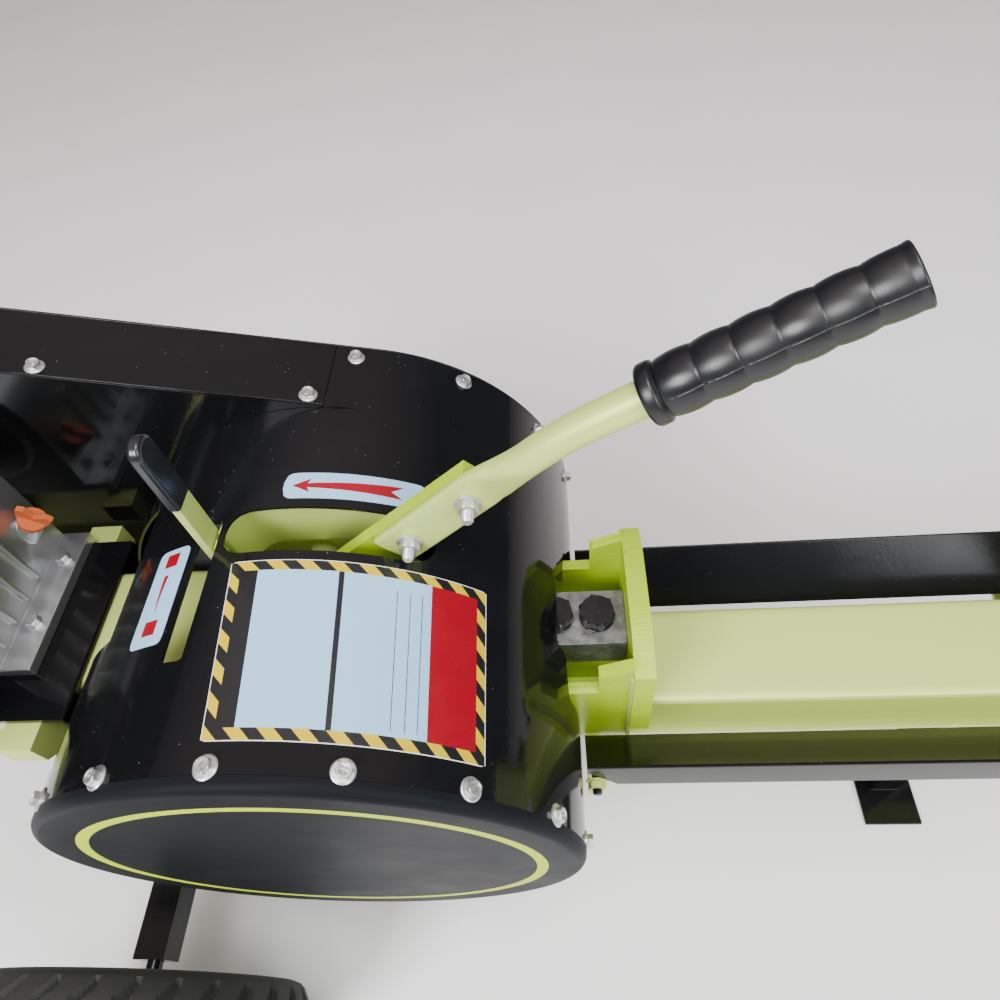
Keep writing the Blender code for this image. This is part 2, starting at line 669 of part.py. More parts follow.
def merge_union(*parts):
    """One bmesh from overlapping solids, welded with Boolean modifiers on a scratch object."""
    scratch = []
    for k, bm in enumerate(parts):
        mesh = bpy.data.meshes.new("scratch")
        bm.to_mesh(mesh)
        bm.free()
        obj = bpy.data.objects.new("scratch", mesh)
        bpy.context.collection.objects.link(obj)
        scratch.append(obj)
    for obj in scratch[1:]:
        mod = scratch[0].modifiers.new("weld", "BOOLEAN")
        mod.operation = "UNION"
        mod.solver = "EXACT"
        mod.object = obj
    bpy.context.view_layer.update()
    graph = bpy.context.evaluated_depsgraph_get()
    result = bmesh.new()
    result.from_object(scratch[0], graph)
    for obj in scratch:
        bpy.data.objects.remove(obj, do_unlink=True)
    return result


def cover_bolts(first, last):
    """Bolt heads on the wrap between two angles, in line with the near cover's skirt."""
    pattern = cover_bolt()
    bolts = []
    for degrees in cover_bolt_angles():
        if first < (degrees + 90) % 360 - 90 < last:
            bolt = pattern.copy()
            bmesh.ops.translate(bolt, verts=bolt.verts,
                                vec=(DRUM_R, COVER_Y + COVER_BOLT_INSET + SHEET, 0))
            bolts.append(turned(bolt, -degrees, "Y", (0, 0, 0)))
    pattern.free()
    return merge(bolts)


def guard_bolts():
    """Bolt heads on the belt guard's face."""
    pattern = cover_bolt()
    bolts = []
    spots = arc((0, 0), 0.214, 60, -90, 3) + arc((ENGINE_X, ENGINE_Z), 0.118, 90, 220, 2)
    for x, z in spots:
        bolt = turned(pattern.copy(), 90, "Z", (0, 0, 0))
        bmesh.ops.translate(bolt, verts=bolt.verts, vec=(x, GUARD_FACE_Y, z))
        bolts.append(bolt)
    pattern.free()
    return merge(bolts)


# ---------------------------------------------------------------- flywheel set
def make_flywheel(name, middle):
    half, web = WHEEL_W / 2, WHEEL_WEB / 2
    rim = WHEEL_R - WHEEL_RIM
    bore = SHAFT_R + GAP
    profile = [(bore, -half), (HUB_R, -half), (HUB_R + 0.004, -web), (rim - 0.004, -web),
               (rim, -half), (WHEEL_R, -half), (WHEEL_R, half), (rim, half),
               (rim - 0.004, web), (HUB_R + 0.004, web), (HUB_R, half), (bore, half)]
    wheel = place(name, lathe(profile, "Y", (0, middle, 0), 18), "cast_iron",
                  origin=(0, middle, 0), smooth=True)
    holes = []
    circle = (HUB_R + rim) / 2
    for k in range(LIGHT_HOLES):
        a = math.tau * k / LIGHT_HOLES
        holes.append(rod(LIGHT_HOLE_R, "Y", (circle * math.cos(a), circle * math.sin(a)),
                         middle - 0.03, middle + 0.03, 8))
    cut(wheel, merge(holes))


def tooth_ring(teeth, module, steps):
    """The outline of a spur pinion with straight-flanked teeth."""
    pitch_r = module * teeth / 2
    tip, root = pitch_r + module, pitch_r - 1.25 * module
    outline = []
    for k in range(teeth):
        middle = 360.0 * k / teeth
        tooth = 360.0 / teeth
        for share, radius in ((-0.33, root), (-0.115, tip), (0.115, tip), (0.33, root)):
            outline += arc((0, 0), radius, middle + tooth * share, middle + tooth * share, 1)[:1]
        outline += arc((0, 0), root, middle + tooth * 0.5, middle + tooth * 0.5, steps)[:1]
    return outline


def make_shaft():
    """Flywheel shaft with its pinion, reaching from the near flywheel to the belt pulley."""
    near_end = NEAR_WHEEL_Y - WHEEL_W / 2 - 0.012
    far_end = BELT_Y + PULLEY_W / 2 + 0.010
    chamfer = 0.002
    profile = [(0, near_end), (SHAFT_R - chamfer, near_end), (SHAFT_R, near_end + chamfer),
               (SHAFT_R, far_end - chamfer), (SHAFT_R - chamfer, far_end), (0, far_end)]
    shaft = place("pinion_shaft", lathe(profile, "Y", (0, 0, 0), 14), "steel", smooth=True)
    weld(shaft, slab(tooth_ring(PINION_TEETH, MODULE, 1), "Y", -RACK_W / 2, RACK_W / 2))


def make_bearings():
    """Flange bearings bolted to the outside of each cheek."""
    low, high = CHEEK_OUT + GAP, CHEEK_OUT + 0.020
    flange = slab(round_outline(0.096, 0.096, 0.020, steps=2), "Y", low, low + 0.010)
    boss = lathe([(0, low + 0.004), (0.036, low + 0.004), (0.032, high), (0, high)], "Y",
                 (0, 0, 0), 14)
    bm = merge_union(flange, boss, *[
        slab(hexagon(0.013, (x, z)), "Y", low + 0.008, low + 0.0155)
        for x in (-0.034, 0.034) for z in (-0.034, 0.034)])
    for side, shape in (("near", mirrored(bm)), ("far", bm)):
        bearing = place(f"bearing_{side}", shape, "cast_iron", smooth=True)
        cut(bearing, hole(SHAFT_R + GAP, "Y", (0, 0), -high - 0.01, high + 0.01, 14))


def flip_y(bm):
    twin = mirrored(bm)
    bm.free()
    return twin


def grooved_pulley(outer, hub, bore, centre):
    """A V-groove pulley with a thin web and a hub, turned about Y."""
    half = PULLEY_W / 2
    groove = BELT_W / 2 + 2 * GAP
    floor_half = groove - 0.0030
    floor = outer - 0.0125
    web = 0.005
    inner_rim = floor - 0.008
    profile = [(bore, -half), (hub, -half)]
    if inner_rim > hub + 0.01:
        profile += [(hub, -web), (inner_rim, -web), (inner_rim, -half)]
    profile += [(outer, -half), (outer, -groove), (floor, -floor_half), (floor, floor_half),
                (outer, groove), (outer, half)]
    if inner_rim > hub + 0.01:
        profile += [(inner_rim, half), (inner_rim, web), (hub, web)]
    profile += [(hub, half), (bore, half)]
    return lathe(profile, "Y", centre, 20)


def make_pulleys():
    place("flywheel_pulley", grooved_pulley(PULLEY_R, 0.034, SHAFT_R + GAP, (0, BELT_Y, 0)),
          "cast_iron", origin=(0, BELT_Y, 0), smooth=True)
    half = PULLEY_W / 2
    r = SMALL_PULLEY_R
    groove = BELT_W / 2 + 2 * GAP
    floor = r - 0.0125
    profile = [(r, -half), (r, -groove), (floor, -groove + 0.003),
               (floor, groove - 0.003), (r, groove), (r, half), (CLUTCH_R - 0.006, half + 0.002),
               (CLUTCH_R, half + 0.008), (CLUTCH_R, half + 0.030), (CLUTCH_R - 0.003, half + 0.033)]
    profile = [(0, CRANK_START - BELT_Y), (CRANK_R, CRANK_START - BELT_Y), (CRANK_R, -half)] + profile
    profile += [(0, half + 0.033)]
    place("engine_pulley", lathe(profile, "Y", (ENGINE_X, BELT_Y, ENGINE_Z), 16), "steel",
          origin=(ENGINE_X, BELT_Y, ENGINE_Z), smooth=True)


def make_belt():
    """V-belt round both pulleys: its four edges are lofted along the same path."""
    outer = belt_outline(PULLEY_R - 0.0006, SMALL_PULLEY_R - 0.0006, 20)
    inner = belt_outline(PULLEY_R - 0.0006 - BELT_T, SMALL_PULLEY_R - 0.0006 - BELT_T, 20)
    top, bottom = BELT_W / 2, BELT_W / 2 - 0.0026
    bm = bmesh.new()
    loops = []
    for outline, y in ((outer, -top), (outer, top), (inner, bottom), (inner, -bottom)):
        loops.append([bm.verts.new((x, BELT_Y + y, z)) for x, z in outline])
    count = len(outer)
    for one, two in zip(loops, loops[1:] + loops[:1]):
        for k in range(count):
            bm.faces.new((one[k], one[(k + 1) % count], two[(k + 1) % count], two[k]))
    place("drive_belt", bm, "rubber", smooth=True)


# ---------------------------------------------------------------- rack and pusher
def make_rack():
    """Bar with straight-flanked teeth underneath; its front end sits in the clamp block."""
    count = int((RACK_TEETH_END - RACK_BACK) / TOOTH_PITCH)
    points = [(RACK_BACK, RACK_TOP), (RACK_BACK, RACK_ROOT_Z)]
    for k in range(count):
        x = RACK_BACK + TOOTH_PITCH * (k + 0.5)
        points += [(x - 0.0058, RACK_ROOT_Z), (x - 0.0021, RACK_TIP_Z),
                   (x + 0.0021, RACK_TIP_Z), (x + 0.0058, RACK_ROOT_Z)]
    front = BLOCK_FRONT - 0.018
    points += [(RACK_TEETH_END + 0.004, RACK_ROOT_Z), (RACK_TEETH_END + 0.014, RACK_TIP_Z),
               (front, RACK_TIP_Z), (front, RACK_TOP)]
    rack = place("rack", slab(points, "Y", -RACK_W / 2, RACK_W / 2), "steel")
    for x in CLAMP_BOLTS_X:
        cut(rack, hole(CLAMP_BOLT_R + GAP, "Z", (x, 0), 0.0, 0.1, 10))


def pusher_plate_outline():
    bottom = BEAM_TOP + GAP
    right = [(PUSHER_HALF, bottom), (PUSHER_HALF, PUSHER_CORNER_Z), (PUSHER_TOP_HALF, PUSHER_TOP)]
    return right + [(-y, z) for y, z in reversed(right)]


def make_pusher():
    """Welded carriage: face plate, gussets, side plates, floor, pedestal and flange gibs."""
    inside = PUSHER_BACK + 0.001
    floor = BEAM_TOP + GAP
    pusher = place("pusher", slab(pusher_plate_outline(), "X", PUSHER_BACK, PUSHER_FACE), "lime")
    weld(pusher, block(SIDE_BACK, inside, -SIDE_IN - 0.001, SIDE_IN + 0.001,
                       floor, floor + PUSHER_FLOOR_T))
    weld(pusher, block(BLOCK_BACK, inside, -BLOCK_HALF, BLOCK_HALF,
                       floor + 0.006, PEDESTAL_TOP))
    side_outline = [(SIDE_BACK, SIDE_BOTTOM + 0.012), (SIDE_BACK + 0.012, SIDE_BOTTOM),
                    (inside, SIDE_BOTTOM), (inside, PUSHER_TOP - 0.0085),
                    (GUSSET_BACK, GUSSET_FOOT), (GUSSET_BACK, SIDE_TOP), (SIDE_BACK + 0.008, SIDE_TOP),
                    (SIDE_BACK, SIDE_TOP - 0.008)]
    gib_top = FLANGE_UNDER - GAP
    for sign in (-1, 1):
        y0, y1 = sorted((sign * SIDE_IN, sign * SIDE_OUT))
        weld(pusher, slab(side_outline, "Y", y0, y1))
        y0, y1 = sorted((sign * 0.034, sign * (SIDE_IN + 0.001)))
        weld(pusher, block(SIDE_BACK + 0.004, inside, y0, y1, gib_top - 0.012, gib_top))
    x, z = FRONT_PEG
    lug = [(x - 0.008, z - 0.016), (x - 0.008, z + 0.007), (x + 0.008, z + 0.007),
           (GUSSET_BACK + 0.004, GUSSET_FOOT - 0.001), (GUSSET_BACK + 0.004, GUSSET_FOOT - 0.014)]
    weld(pusher, slab(lug, "Y", SIDE_IN, SIDE_IN + 0.005))
    weld(pusher, rod(PEG_R, "Y", FRONT_PEG, SIDE_IN + 0.004, SPRING_Y + 0.007, 10))
    for x in CLAMP_BOLTS_X:
        cut(pusher, hole(CLAMP_BOLT_R + GAP, "Z", (x, 0), 0.002, 0.1, 10))


def make_clamp_block():
    """Zinc block that holds the rack's end on the pusher's pedestal."""
    block_bm = block(BLOCK_BACK, BLOCK_FRONT, -BLOCK_HALF, BLOCK_HALF, PEDESTAL_TOP + GAP, BLOCK_TOP)
    bmesh.ops.bevel(block_bm, geom=[e for e in block_bm.edges
                                    if abs(e.verts[0].co.z - e.verts[1].co.z) > 0.01],
                    offset=0.003, segments=2, profile=0.5, affect="EDGES")
    clamp = place("clamp_block", block_bm, "zinc")
    cut(clamp, block(BLOCK_BACK - 0.01, BLOCK_FRONT - 0.018 + GAP, -RACK_W / 2 - GAP,
                     RACK_W / 2 + GAP, RACK_TIP_Z - GAP, RACK_TOP + GAP))
    for x in CLAMP_BOLTS_X:
        cut(clamp, hole(CLAMP_BOLT_R + GAP, "Z", (x, 0), 0.0, 0.1, 10))


def make_clamp_bolts():
    for side, x in zip(("rear", "front"), CLAMP_BOLTS_X):
        seat = BLOCK_TOP + GAP
        head = slab(hexagon(0.030, (x, 0), math.radians(12)), "Z", seat + 0.0008, seat + 0.0125)
        washer_face = rod(0.0142, "Z", (x, 0), seat, seat + 0.002, 12)
        crown = rod(0.0128, "Z", (x, 0), seat + 0.011, seat + 0.0138, 12)
        bolt = merge_union(head, washer_face, crown,
                           rod(CLAMP_BOLT_R, "Z", (x, 0), 0.0035, seat + 0.001, 10))
        place(f"clamp_bolt_{side}", bolt, "black_bolt", smooth=True)


def spring_hook(peg, start, end):
    """Points of the wire round a peg, angles in degrees from start to end."""
    hook = PEG_R + SPRING_WIRE + GAP
    return [(x, SPRING_Y, z) for x, z in arc(peg, hook, start, end, 6)]


def make_return_spring():
    """Long coil that draws the pusher back: one unbroken wire, hooked over a peg at each end."""
    steps = 8
    x0, x1 = REAR_PEG[0] + 0.012, FRONT_PEG[0] - 0.012
    pitch = (x1 - x0) / SPRING_CURLS
    points = spring_hook(REAR_PEG, 300, 90)
    for k in range(SPRING_CURLS * steps + 1):
        a = math.tau * k / steps
        points.append((x0 + pitch * k / steps, SPRING_Y + SPRING_R * math.sin(a),
                       SPRING_Z + SPRING_R * math.cos(a)))
    points += spring_hook(FRONT_PEG, 90, -120)
    print("return spring: least gap between curls", round(pitch - 2 * SPRING_WIRE, 5))
    curve = bpy.data.curves.new("return_spring", "CURVE")
    curve.dimensions = "3D"
    spline = curve.splines.new("POLY")
    spline.points.add(len(points) - 1)
    for target, p in zip(spline.points, points):
        target.co = (*p, 1.0)
    curve.bevel_depth = SPRING_WIRE
    curve.bevel_resolution = 1
    curve.use_fill_caps = True
    obj = bpy.data.objects.new("return_spring", curve)
    obj.location = SHIFT
    curve.materials.append(material("steel"))
    bpy.context.collection.objects.link(obj)


# ---------------------------------------------------------------- main handle
def along_arm(u, v=0.0):
    """A point u along the arm from its pivot and v across it, in x, z."""
    a = math.radians(HANDLE_DEG)
    return (PIVOT_X + u * math.cos(a) - v * math.sin(a), PIVOT_Z + u * math.sin(a) + v * math.cos(a))


PIVOT = (PIVOT_X, 0.0, PIVOT_Z)


def make_handle_arm():
    half = ARM_W / 2
    tail = [along_arm(-ROLLER_REACH + TAIL_R * math.cos(math.radians(a)),
                      TAIL_R * math.sin(math.radians(a))) for a in range(90, 271, 30)]
    outline = ([along_arm(ARM_END, -half), along_arm(ARM_END, half), along_arm(0.012, half)] + tail
               + [along_arm(0.012, -half)])
    arm = place("handle_arm", slab(outline, "Y", ARM_Y0, ARM_Y1), "lime", origin=PIVOT)
    cut(arm, hole(PIVOT_BOLT_R + GAP, "Y", (PIVOT_X, PIVOT_Z), ARM_Y0 - 0.01, ARM_Y1 + 0.01, 16))
    x, z = along_arm(-ROLLER_REACH)
    weld(arm, lathe([(0, ROLLER_Y0 - 0.0045), (0.007, ROLLER_Y0 - 0.0045), (0.007, ROLLER_Y0 - GAP),
                     (ROLLER_PIN_R, ROLLER_Y0 - GAP), (ROLLER_PIN_R, ARM_Y0 + 0.002),
                     (0, ARM_Y0 + 0.002)], "Y", (x, 0, z), 12))
    for u in HANDLE_BOLTS:
        cut(arm, hole(0.004 + GAP, "Y", along_arm(u), ARM_Y0 - 0.01, ARM_Y1 + 0.01, 12))


def tube_path():
    """Points and headings of the handle tube: flat end, bend, straight into the grip."""
    bend = Vector((BEND_X, BEND_Z))
    start = Vector(along_arm(TUBE_START))
    first = (bend - start).normalized()
    last = Vector((math.cos(math.radians(GRIP_DEG)), math.sin(math.radians(GRIP_DEG))))
    reach = 0.030
    path = [start + first * s for s in (0.0, 0.008, 0.1125, 0.122, 0.133, 0.146)]
    a, b = bend - first * reach, bend + last * reach
    for k in range(5):
        t = k / 4
        path.append(a * (1 - t) ** 2 + bend * 2 * t * (1 - t) + b * t ** 2)
    path.append(bend + last * (GRIP_START + GRIP_LENGTH - 0.012))
    return path


def make_handle_tube():
    """Round tube whose lower end is pressed flat where it is bolted to the arm."""
    path = tube_path()
    flats = [1.0, 1.0, 1.0, 0.66, 0.28, 0.06] + [0.0] * (len(path) - 6)
    rings = []
    for k, here in enumerate(path):
        ahead = path[min(k + 1, len(path) - 1)] - path[max(k - 1, 0)]
        across = Vector((-ahead.y, ahead.x)).normalized()
        flat = flats[k]
        wide = TUBE_R + flat * (0.0195 - TUBE_R)
        thick = TUBE_R + flat * (TUBE_FLAT / 2 - TUBE_R)
        power = 1.0 - 0.45 * flat
        points = []
        for j in range(TUBE_SIDES):
            a = math.tau * (j + 0.5) / TUBE_SIDES
            u = wide * math.copysign(abs(math.cos(a)) ** power, math.cos(a))
            w = thick * math.copysign(abs(math.sin(a)) ** power, math.sin(a))
            points.append((here.x + across.x * u, tube_centre_y(flat) + w, here.y + across.y * u))
        rings.append(points)
    tube = place("handle_tube", loft(rings), "lime", origin=PIVOT, smooth=True)
    for u in HANDLE_BOLTS:
        cut(tube, hole(0.004 + GAP, "Y", along_arm(u), TUBE_Y0 - 0.02, TUBE_Y1 + 0.02, 12))


def tube_centre_y(flat):
    """The round stretch stands a little nearer than the flat end, which lies on the arm."""
    return TUBE_Y - (1.0 - flat) * 0.004


def make_handle_grip():
    """Hollow rubber grip with finger bulges and a collar."""
    last = Vector((math.cos(math.radians(GRIP_DEG)), 0, math.sin(math.radians(GRIP_DEG))))
    y = tube_centre_y(0.0)
    sides = 12
    bore = (TUBE_R + GAP) / math.cos(math.pi / sides)
    profile = [(bore, 0.0), (GRIP_R - 0.0005, 0.0), (GRIP_R + 0.0008, 0.002),
               (GRIP_R + 0.0008, 0.009), (GRIP_R - 0.002, 0.013)]
    run = GRIP_LENGTH - 0.016
    count = GRIP_BULGES * 3
    for k in range(1, count):
        t = k / count
        swell = abs(math.sin(math.pi * t * GRIP_BULGES)) ** 0.7
        profile.append((GRIP_R - 0.0024 + 0.0026 * swell - 0.0022 * t ** 2, 0.013 + run * t))
    end = GRIP_LENGTH
    profile += [(GRIP_R - 0.0042, end - 0.001), (GRIP_R - 0.0055, end), (bore, end)]
    bm = lathe(profile, "X", (0, 0, 0), sides)
    base = Vector((BEND_X, y, BEND_Z)) + last * GRIP_START
    turned(bm, -GRIP_DEG, "Y", (0, 0, 0))
    bmesh.ops.translate(bm, verts=bm.verts, vec=base)
    place("handle_grip", bm, "rubber", origin=PIVOT, smooth=True)


def make_handle_bolts():
    """Two bolts that hold the tube on the arm, heads on the far side and nuts on the near side."""
    for side, u in zip(("lower", "upper"), HANDLE_BOLTS):
        x, z = along_arm(u)
        nut = TUBE_Y0 - GAP
        head = ARM_Y1 + GAP
        turn = math.radians(HANDLE_DEG)
        bolt = merge_union(
            rod(0.004, "Y", (x, z), nut - 0.016, head + 0.001, 8),
            slab(hexagon(0.013, (x, z), turn), "Y", nut - 0.0068, nut - 0.0008),
            rod(0.0088, "Y", (x, z), nut - 0.0018, nut, 12),
            slab(hexagon(0.013, (x, z), turn), "Y", head, head + 0.0055))
        place(f"handle_bolt_{side}", bolt, "zinc", origin=PIVOT, smooth=True)


def make_press_roller():
    """Roller on the pin at the arm's tail: it presses the rack down."""
    x, z = along_arm(-ROLLER_REACH)
    place("press_roller", ring(ROLLER_R, ROLLER_PIN_R + GAP, "Y", (x, z), ROLLER_Y0, ROLLER_Y1, 16),
          "steel", origin=(x, 0, z), smooth=True)


# ---------------------------------------------------------------- safety lever
LEVER_PIVOT = (LEVER_X, LEVER_Y, LEVER_PIVOT_Z)


def make_safety_lever():
    """Flat bar that stands out of its slot and swings across the drum."""
    half = LEVER_W / 2
    outline = ([(LEVER_Y + half, LEVER_PIVOT_Z)]
               + arc((LEVER_Y, LEVER_TOP - SLEEVE_T - half), half, 0, 180, 8)
               + arc((LEVER_Y, LEVER_PIVOT_Z), half, 180, 350, 8))
    bar = place("safety_lever", slab(outline, "X", LEVER_X - LEVER_T / 2, LEVER_X + LEVER_T / 2),
                "lime", origin=LEVER_PIVOT)
    cut(bar, hole(0.005 + GAP, "X", (LEVER_Y, LEVER_PIVOT_Z), LEVER_X - 0.02, LEVER_X + 0.02, 12))


def make_lever_sleeve():
    """Dipped plastic coat over the lever's end."""
    grow = SLEEVE_T + GAP
    half = LEVER_W / 2 + grow
    depth = LEVER_T / 2 + grow
    outline = ([(LEVER_Y + half, SLEEVE_START)]
               + arc((LEVER_Y, LEVER_TOP - SLEEVE_T - LEVER_W / 2), half, 0, 180, 10)
               + [(LEVER_Y - half, SLEEVE_START)])
    bm = slab(outline, "X", LEVER_X - depth, LEVER_X + depth)
    flat_edges = [e for e in bm.edges if abs(e.verts[0].co.x - e.verts[1].co.x) < 1e-6
                  and max(v.co.z for v in e.verts) > SLEEVE_START + 0.001]
    bmesh.ops.bevel(bm, geom=flat_edges, offset=0.003, segments=2, profile=0.5, affect="EDGES")
    sleeve = place("lever_sleeve", bm, "black_plastic", origin=LEVER_PIVOT, smooth=True)
    pocket = ([(LEVER_Y + LEVER_W / 2 + GAP, SLEEVE_START - 0.01)]
              + arc((LEVER_Y, LEVER_TOP - SLEEVE_T - LEVER_W / 2), LEVER_W / 2 + GAP, 0, 180, 8)
              + [(LEVER_Y - LEVER_W / 2 - GAP, SLEEVE_START - 0.01)])
    cut(sleeve, slab(pocket, "X", LEVER_X - LEVER_T / 2 - GAP, LEVER_X + LEVER_T / 2 + GAP))


def make_pivot_bolts():
    """Handle pivot bolt through both cheeks, and the lever's bolt through its cross plate."""
    near, far = -CHEEK_OUT - GAP, CHEEK_OUT + GAP
    pivot = (PIVOT_X, PIVOT_Z)
    place("handle_pivot_bolt",
          merge_union(rod(PIVOT_BOLT_R, "Y", pivot, near - 0.010, far + 0.001, 12),
                      slab(hexagon(0.024, pivot, 0.11), "Y", far, far + 0.010),
                      slab(hexagon(0.024, pivot, 0.11), "Y", near - 0.009, near)), "zinc")
    lever = (LEVER_Y, LEVER_PIVOT_Z)
    high = LEVER_X + LEVER_T / 2 + GAP
    low = LEVER_X - LEVER_T / 2 - LEVER_PLATE_T - 2 * GAP
    place("lever_pivot_bolt",
          merge_union(rod(LEVER_BOLT_R, "X", lever, low - 0.009, high + 0.001, 12),
                      slab(hexagon(0.015, lever), "X", high, high + 0.004),
                      slab(hexagon(0.016, lever), "X", low - 0.008, low)), "zinc")


def engine_bolts():
    """Four bolts from the crankcase feet into the engine plate."""
    bolts = []
    for x, y in engine_bolt_spots():
        seat = PLATE_TOP + GAP + FOOT_T
        bolts.append(merge_union(
            rod(0.004, "Z", (x, y), PLATE_BOTTOM + 0.0005, seat + 0.003, 8),
            slab(hexagon(0.013, (x, y)), "Z", seat - 0.001, seat + 0.0075)))
    return merge(bolts)


# ---------------------------------------------------------------- log cradles
def make_cradles():
    """Folded sheets on each side of the beam that hold the log."""
    path = [(CRADLE_IN_Y, CRADLE_LOW_Z), (CRADLE_IN_Y, CRADLE_IN_Z), (FOLD_Y, FOLD_Z),
            (FOLD_Y + 0.003, CRADLE_OUT_LOW_Z)]
    outline = fold(path[::-1], CRADLE_T)
    for side in ("far", "near"):
        bm = slab(outline, "X", CRADLE_BACK, CRADLE_FRONT)
        bite = slab([(CRADLE_BACK - 0.01, -0.012), (CRADLE_BACK, -0.012),
                     (CRADLE_BACK + CRADLE_CHAMFER, CRADLE_OUT_LOW_Z),
                     (CRADLE_BACK + CRADLE_CHAMFER, CRADLE_OUT_LOW_Z - 0.01),
                     (CRADLE_BACK - 0.01, CRADLE_OUT_LOW_Z - 0.01)], "Y", FOLD_Y - 0.006,
                    FOLD_Y + 0.02)
        heads = cradle_bolts()
        if side == "near":
            bm, bite, heads = flip_y(bm), flip_y(bite), flip_y(heads)
        cradle = place(f"log_cradle_{side}", bm, "gloss_black")
        cut(cradle, bite)
        weld(cradle, heads)


def cradle_brackets():
    """Bent straps from the beam's lower flange to each cradle, with the end bolts."""
    root = BEAM_HALF - 0.001
    wall = CRADLE_IN_Y - GAP
    low = BEAM_BOTTOM
    short = [(root, low), (wall, low), (wall, -0.050), (wall - BRACKET_T, -0.050),
             (wall - BRACKET_T, low + BRACKET_T), (root, low + BRACKET_T)]
    reach = FOLD_Y - 0.0045
    tall = [(root, low), (reach, low), (reach, -0.014), (reach - BRACKET_T, -0.014),
            (reach - BRACKET_T, low + BRACKET_T), (root, low + BRACKET_T)]
    straps = []
    half = STRAP_W / 2
    strap = merge_union(slab(tall, "X", CRADLE_BACK - GAP - 0.016, CRADLE_BACK - GAP),
                        cradle_end_bolt())
    straps += [mirrored(strap), strap]
    for x in STRAP_X:
        strap = slab(short, "X", x - half, x + half)
        straps += [mirrored(strap), strap]
    return merge(straps)


def cradle_bolts():
    """Bolts that hold the far cradle on its straps, heads inside the trough."""
    wall = CRADLE_IN_Y + CRADLE_T
    return merge([slab(hexagon(0.013, (x, -0.072)), "Y", wall - 0.001, wall + 0.0065)
                  for x in STRAP_X])


def cradle_end_bolt():
    """Bolt with its nut and thread pointing outwards, on the far strap at the drum end."""
    x, z = CRADLE_BACK - 0.0082, -0.036
    seat = FOLD_Y - 0.0045
    return merge_union(rod(0.0085, "Y", (x, z), seat - 0.001, seat + 0.0016, 12),
                       slab(hexagon(0.013, (x, z)), "Y", seat + 0.001, seat + 0.008),
                       rod(0.004, "Y", (x, z), seat + 0.007, seat + 0.022, 8))


# ---------------------------------------------------------------- wedge end
def make_wedge():
    nose, half = WEDGE_X, 0.010
    right = [(nose, 0.0008), (nose + 0.032, half), (nose + 0.070, half), (nose + 0.105, 0.044),
             (nose + 0.118, 0.044)]
    outline = right + [(x, -y) for x, y in reversed(right)]
    wedge = place("splitting_wedge", slab(outline, "Z", BEAM_TOP + GAP, WEDGE_TOP), "lime")
    cut(wedge, slab([(nose - 0.02, WEDGE_TOP + 0.01), (nose - 0.02, WEDGE_TOP - 0.030),
                     (nose + 0.030, WEDGE_TOP + 0.01)], "Y", -0.1, 0.1))
    weld(wedge, block(nose + 0.020, nose + 0.124, -BEAM_HALF, BEAM_HALF,
                      BEAM_TOP + GAP, BEAM_TOP + 0.012))


def make_leg():
    """Front support leg and foot."""
    half = LEG_W / 2
    top = BEAM_BOTTOM - GAP
    leg = place("support_leg",
                block(LEG_X - half, LEG_X + half, -half, half, GROUND + 0.004, top - 0.004),
                "gloss_black")
    weld(leg, block(LEG_X - 0.045, LEG_X + 0.045, -BEAM_HALF, BEAM_HALF, top - 0.006, top))
    weld(leg, block(LEG_X - 0.040, LEG_X + 0.040, -FOOT_W / 2, FOOT_W / 2, GROUND, GROUND + 0.006))
    brace = [(LEG_X - half + 0.002, -0.30), (LEG_X - 0.130, top - 0.001),
             (LEG_X - 0.095, top - 0.001), (LEG_X - half + 0.002, -0.245)]
    weld(leg, slab(brace, "Y", -0.004, 0.004))


def make_lift_handle():
    """Bent tube loop on the beam's end for moving the machine by hand."""
    z = BEAM_TOP - FLANGE_T / 2
    start = BEAM_FRONT - 0.060
    corner = 0.045
    y_root = BEAM_HALF + LOOP_R + GAP
    outer_x = LOOP_FRONT - LOOP_R
    right = [Vector((start, y_root)), Vector((BEAM_FRONT + 0.010, y_root)),
             Vector((BEAM_FRONT + 0.045, y_root + 0.020))]
    right += [Vector((BEAM_FRONT + 0.075, LOOP_HALF - LOOP_R - 0.012))]
    right += [Vector(p) for p in arc((outer_x - corner, LOOP_HALF - LOOP_R - corner), corner,
                                     60, 0, 4)]
    path = right + [Vector((p.x, -p.y)) for p in reversed(right)]
    rings = []
    for k, here in enumerate(path):
        ahead = (path[min(k + 1, len(path) - 1)] - path[max(k - 1, 0)]).normalized()
        across = Vector((-ahead.y, ahead.x))
        rings.append([(here.x + across.x * LOOP_R * math.cos(a), here.y + across.y * LOOP_R * math.cos(a),
                       z + LOOP_R * math.sin(a)) for a in [math.tau * j / 8 for j in range(8)]])
    place("lift_handle", loft(rings), "gloss_black", smooth=True)


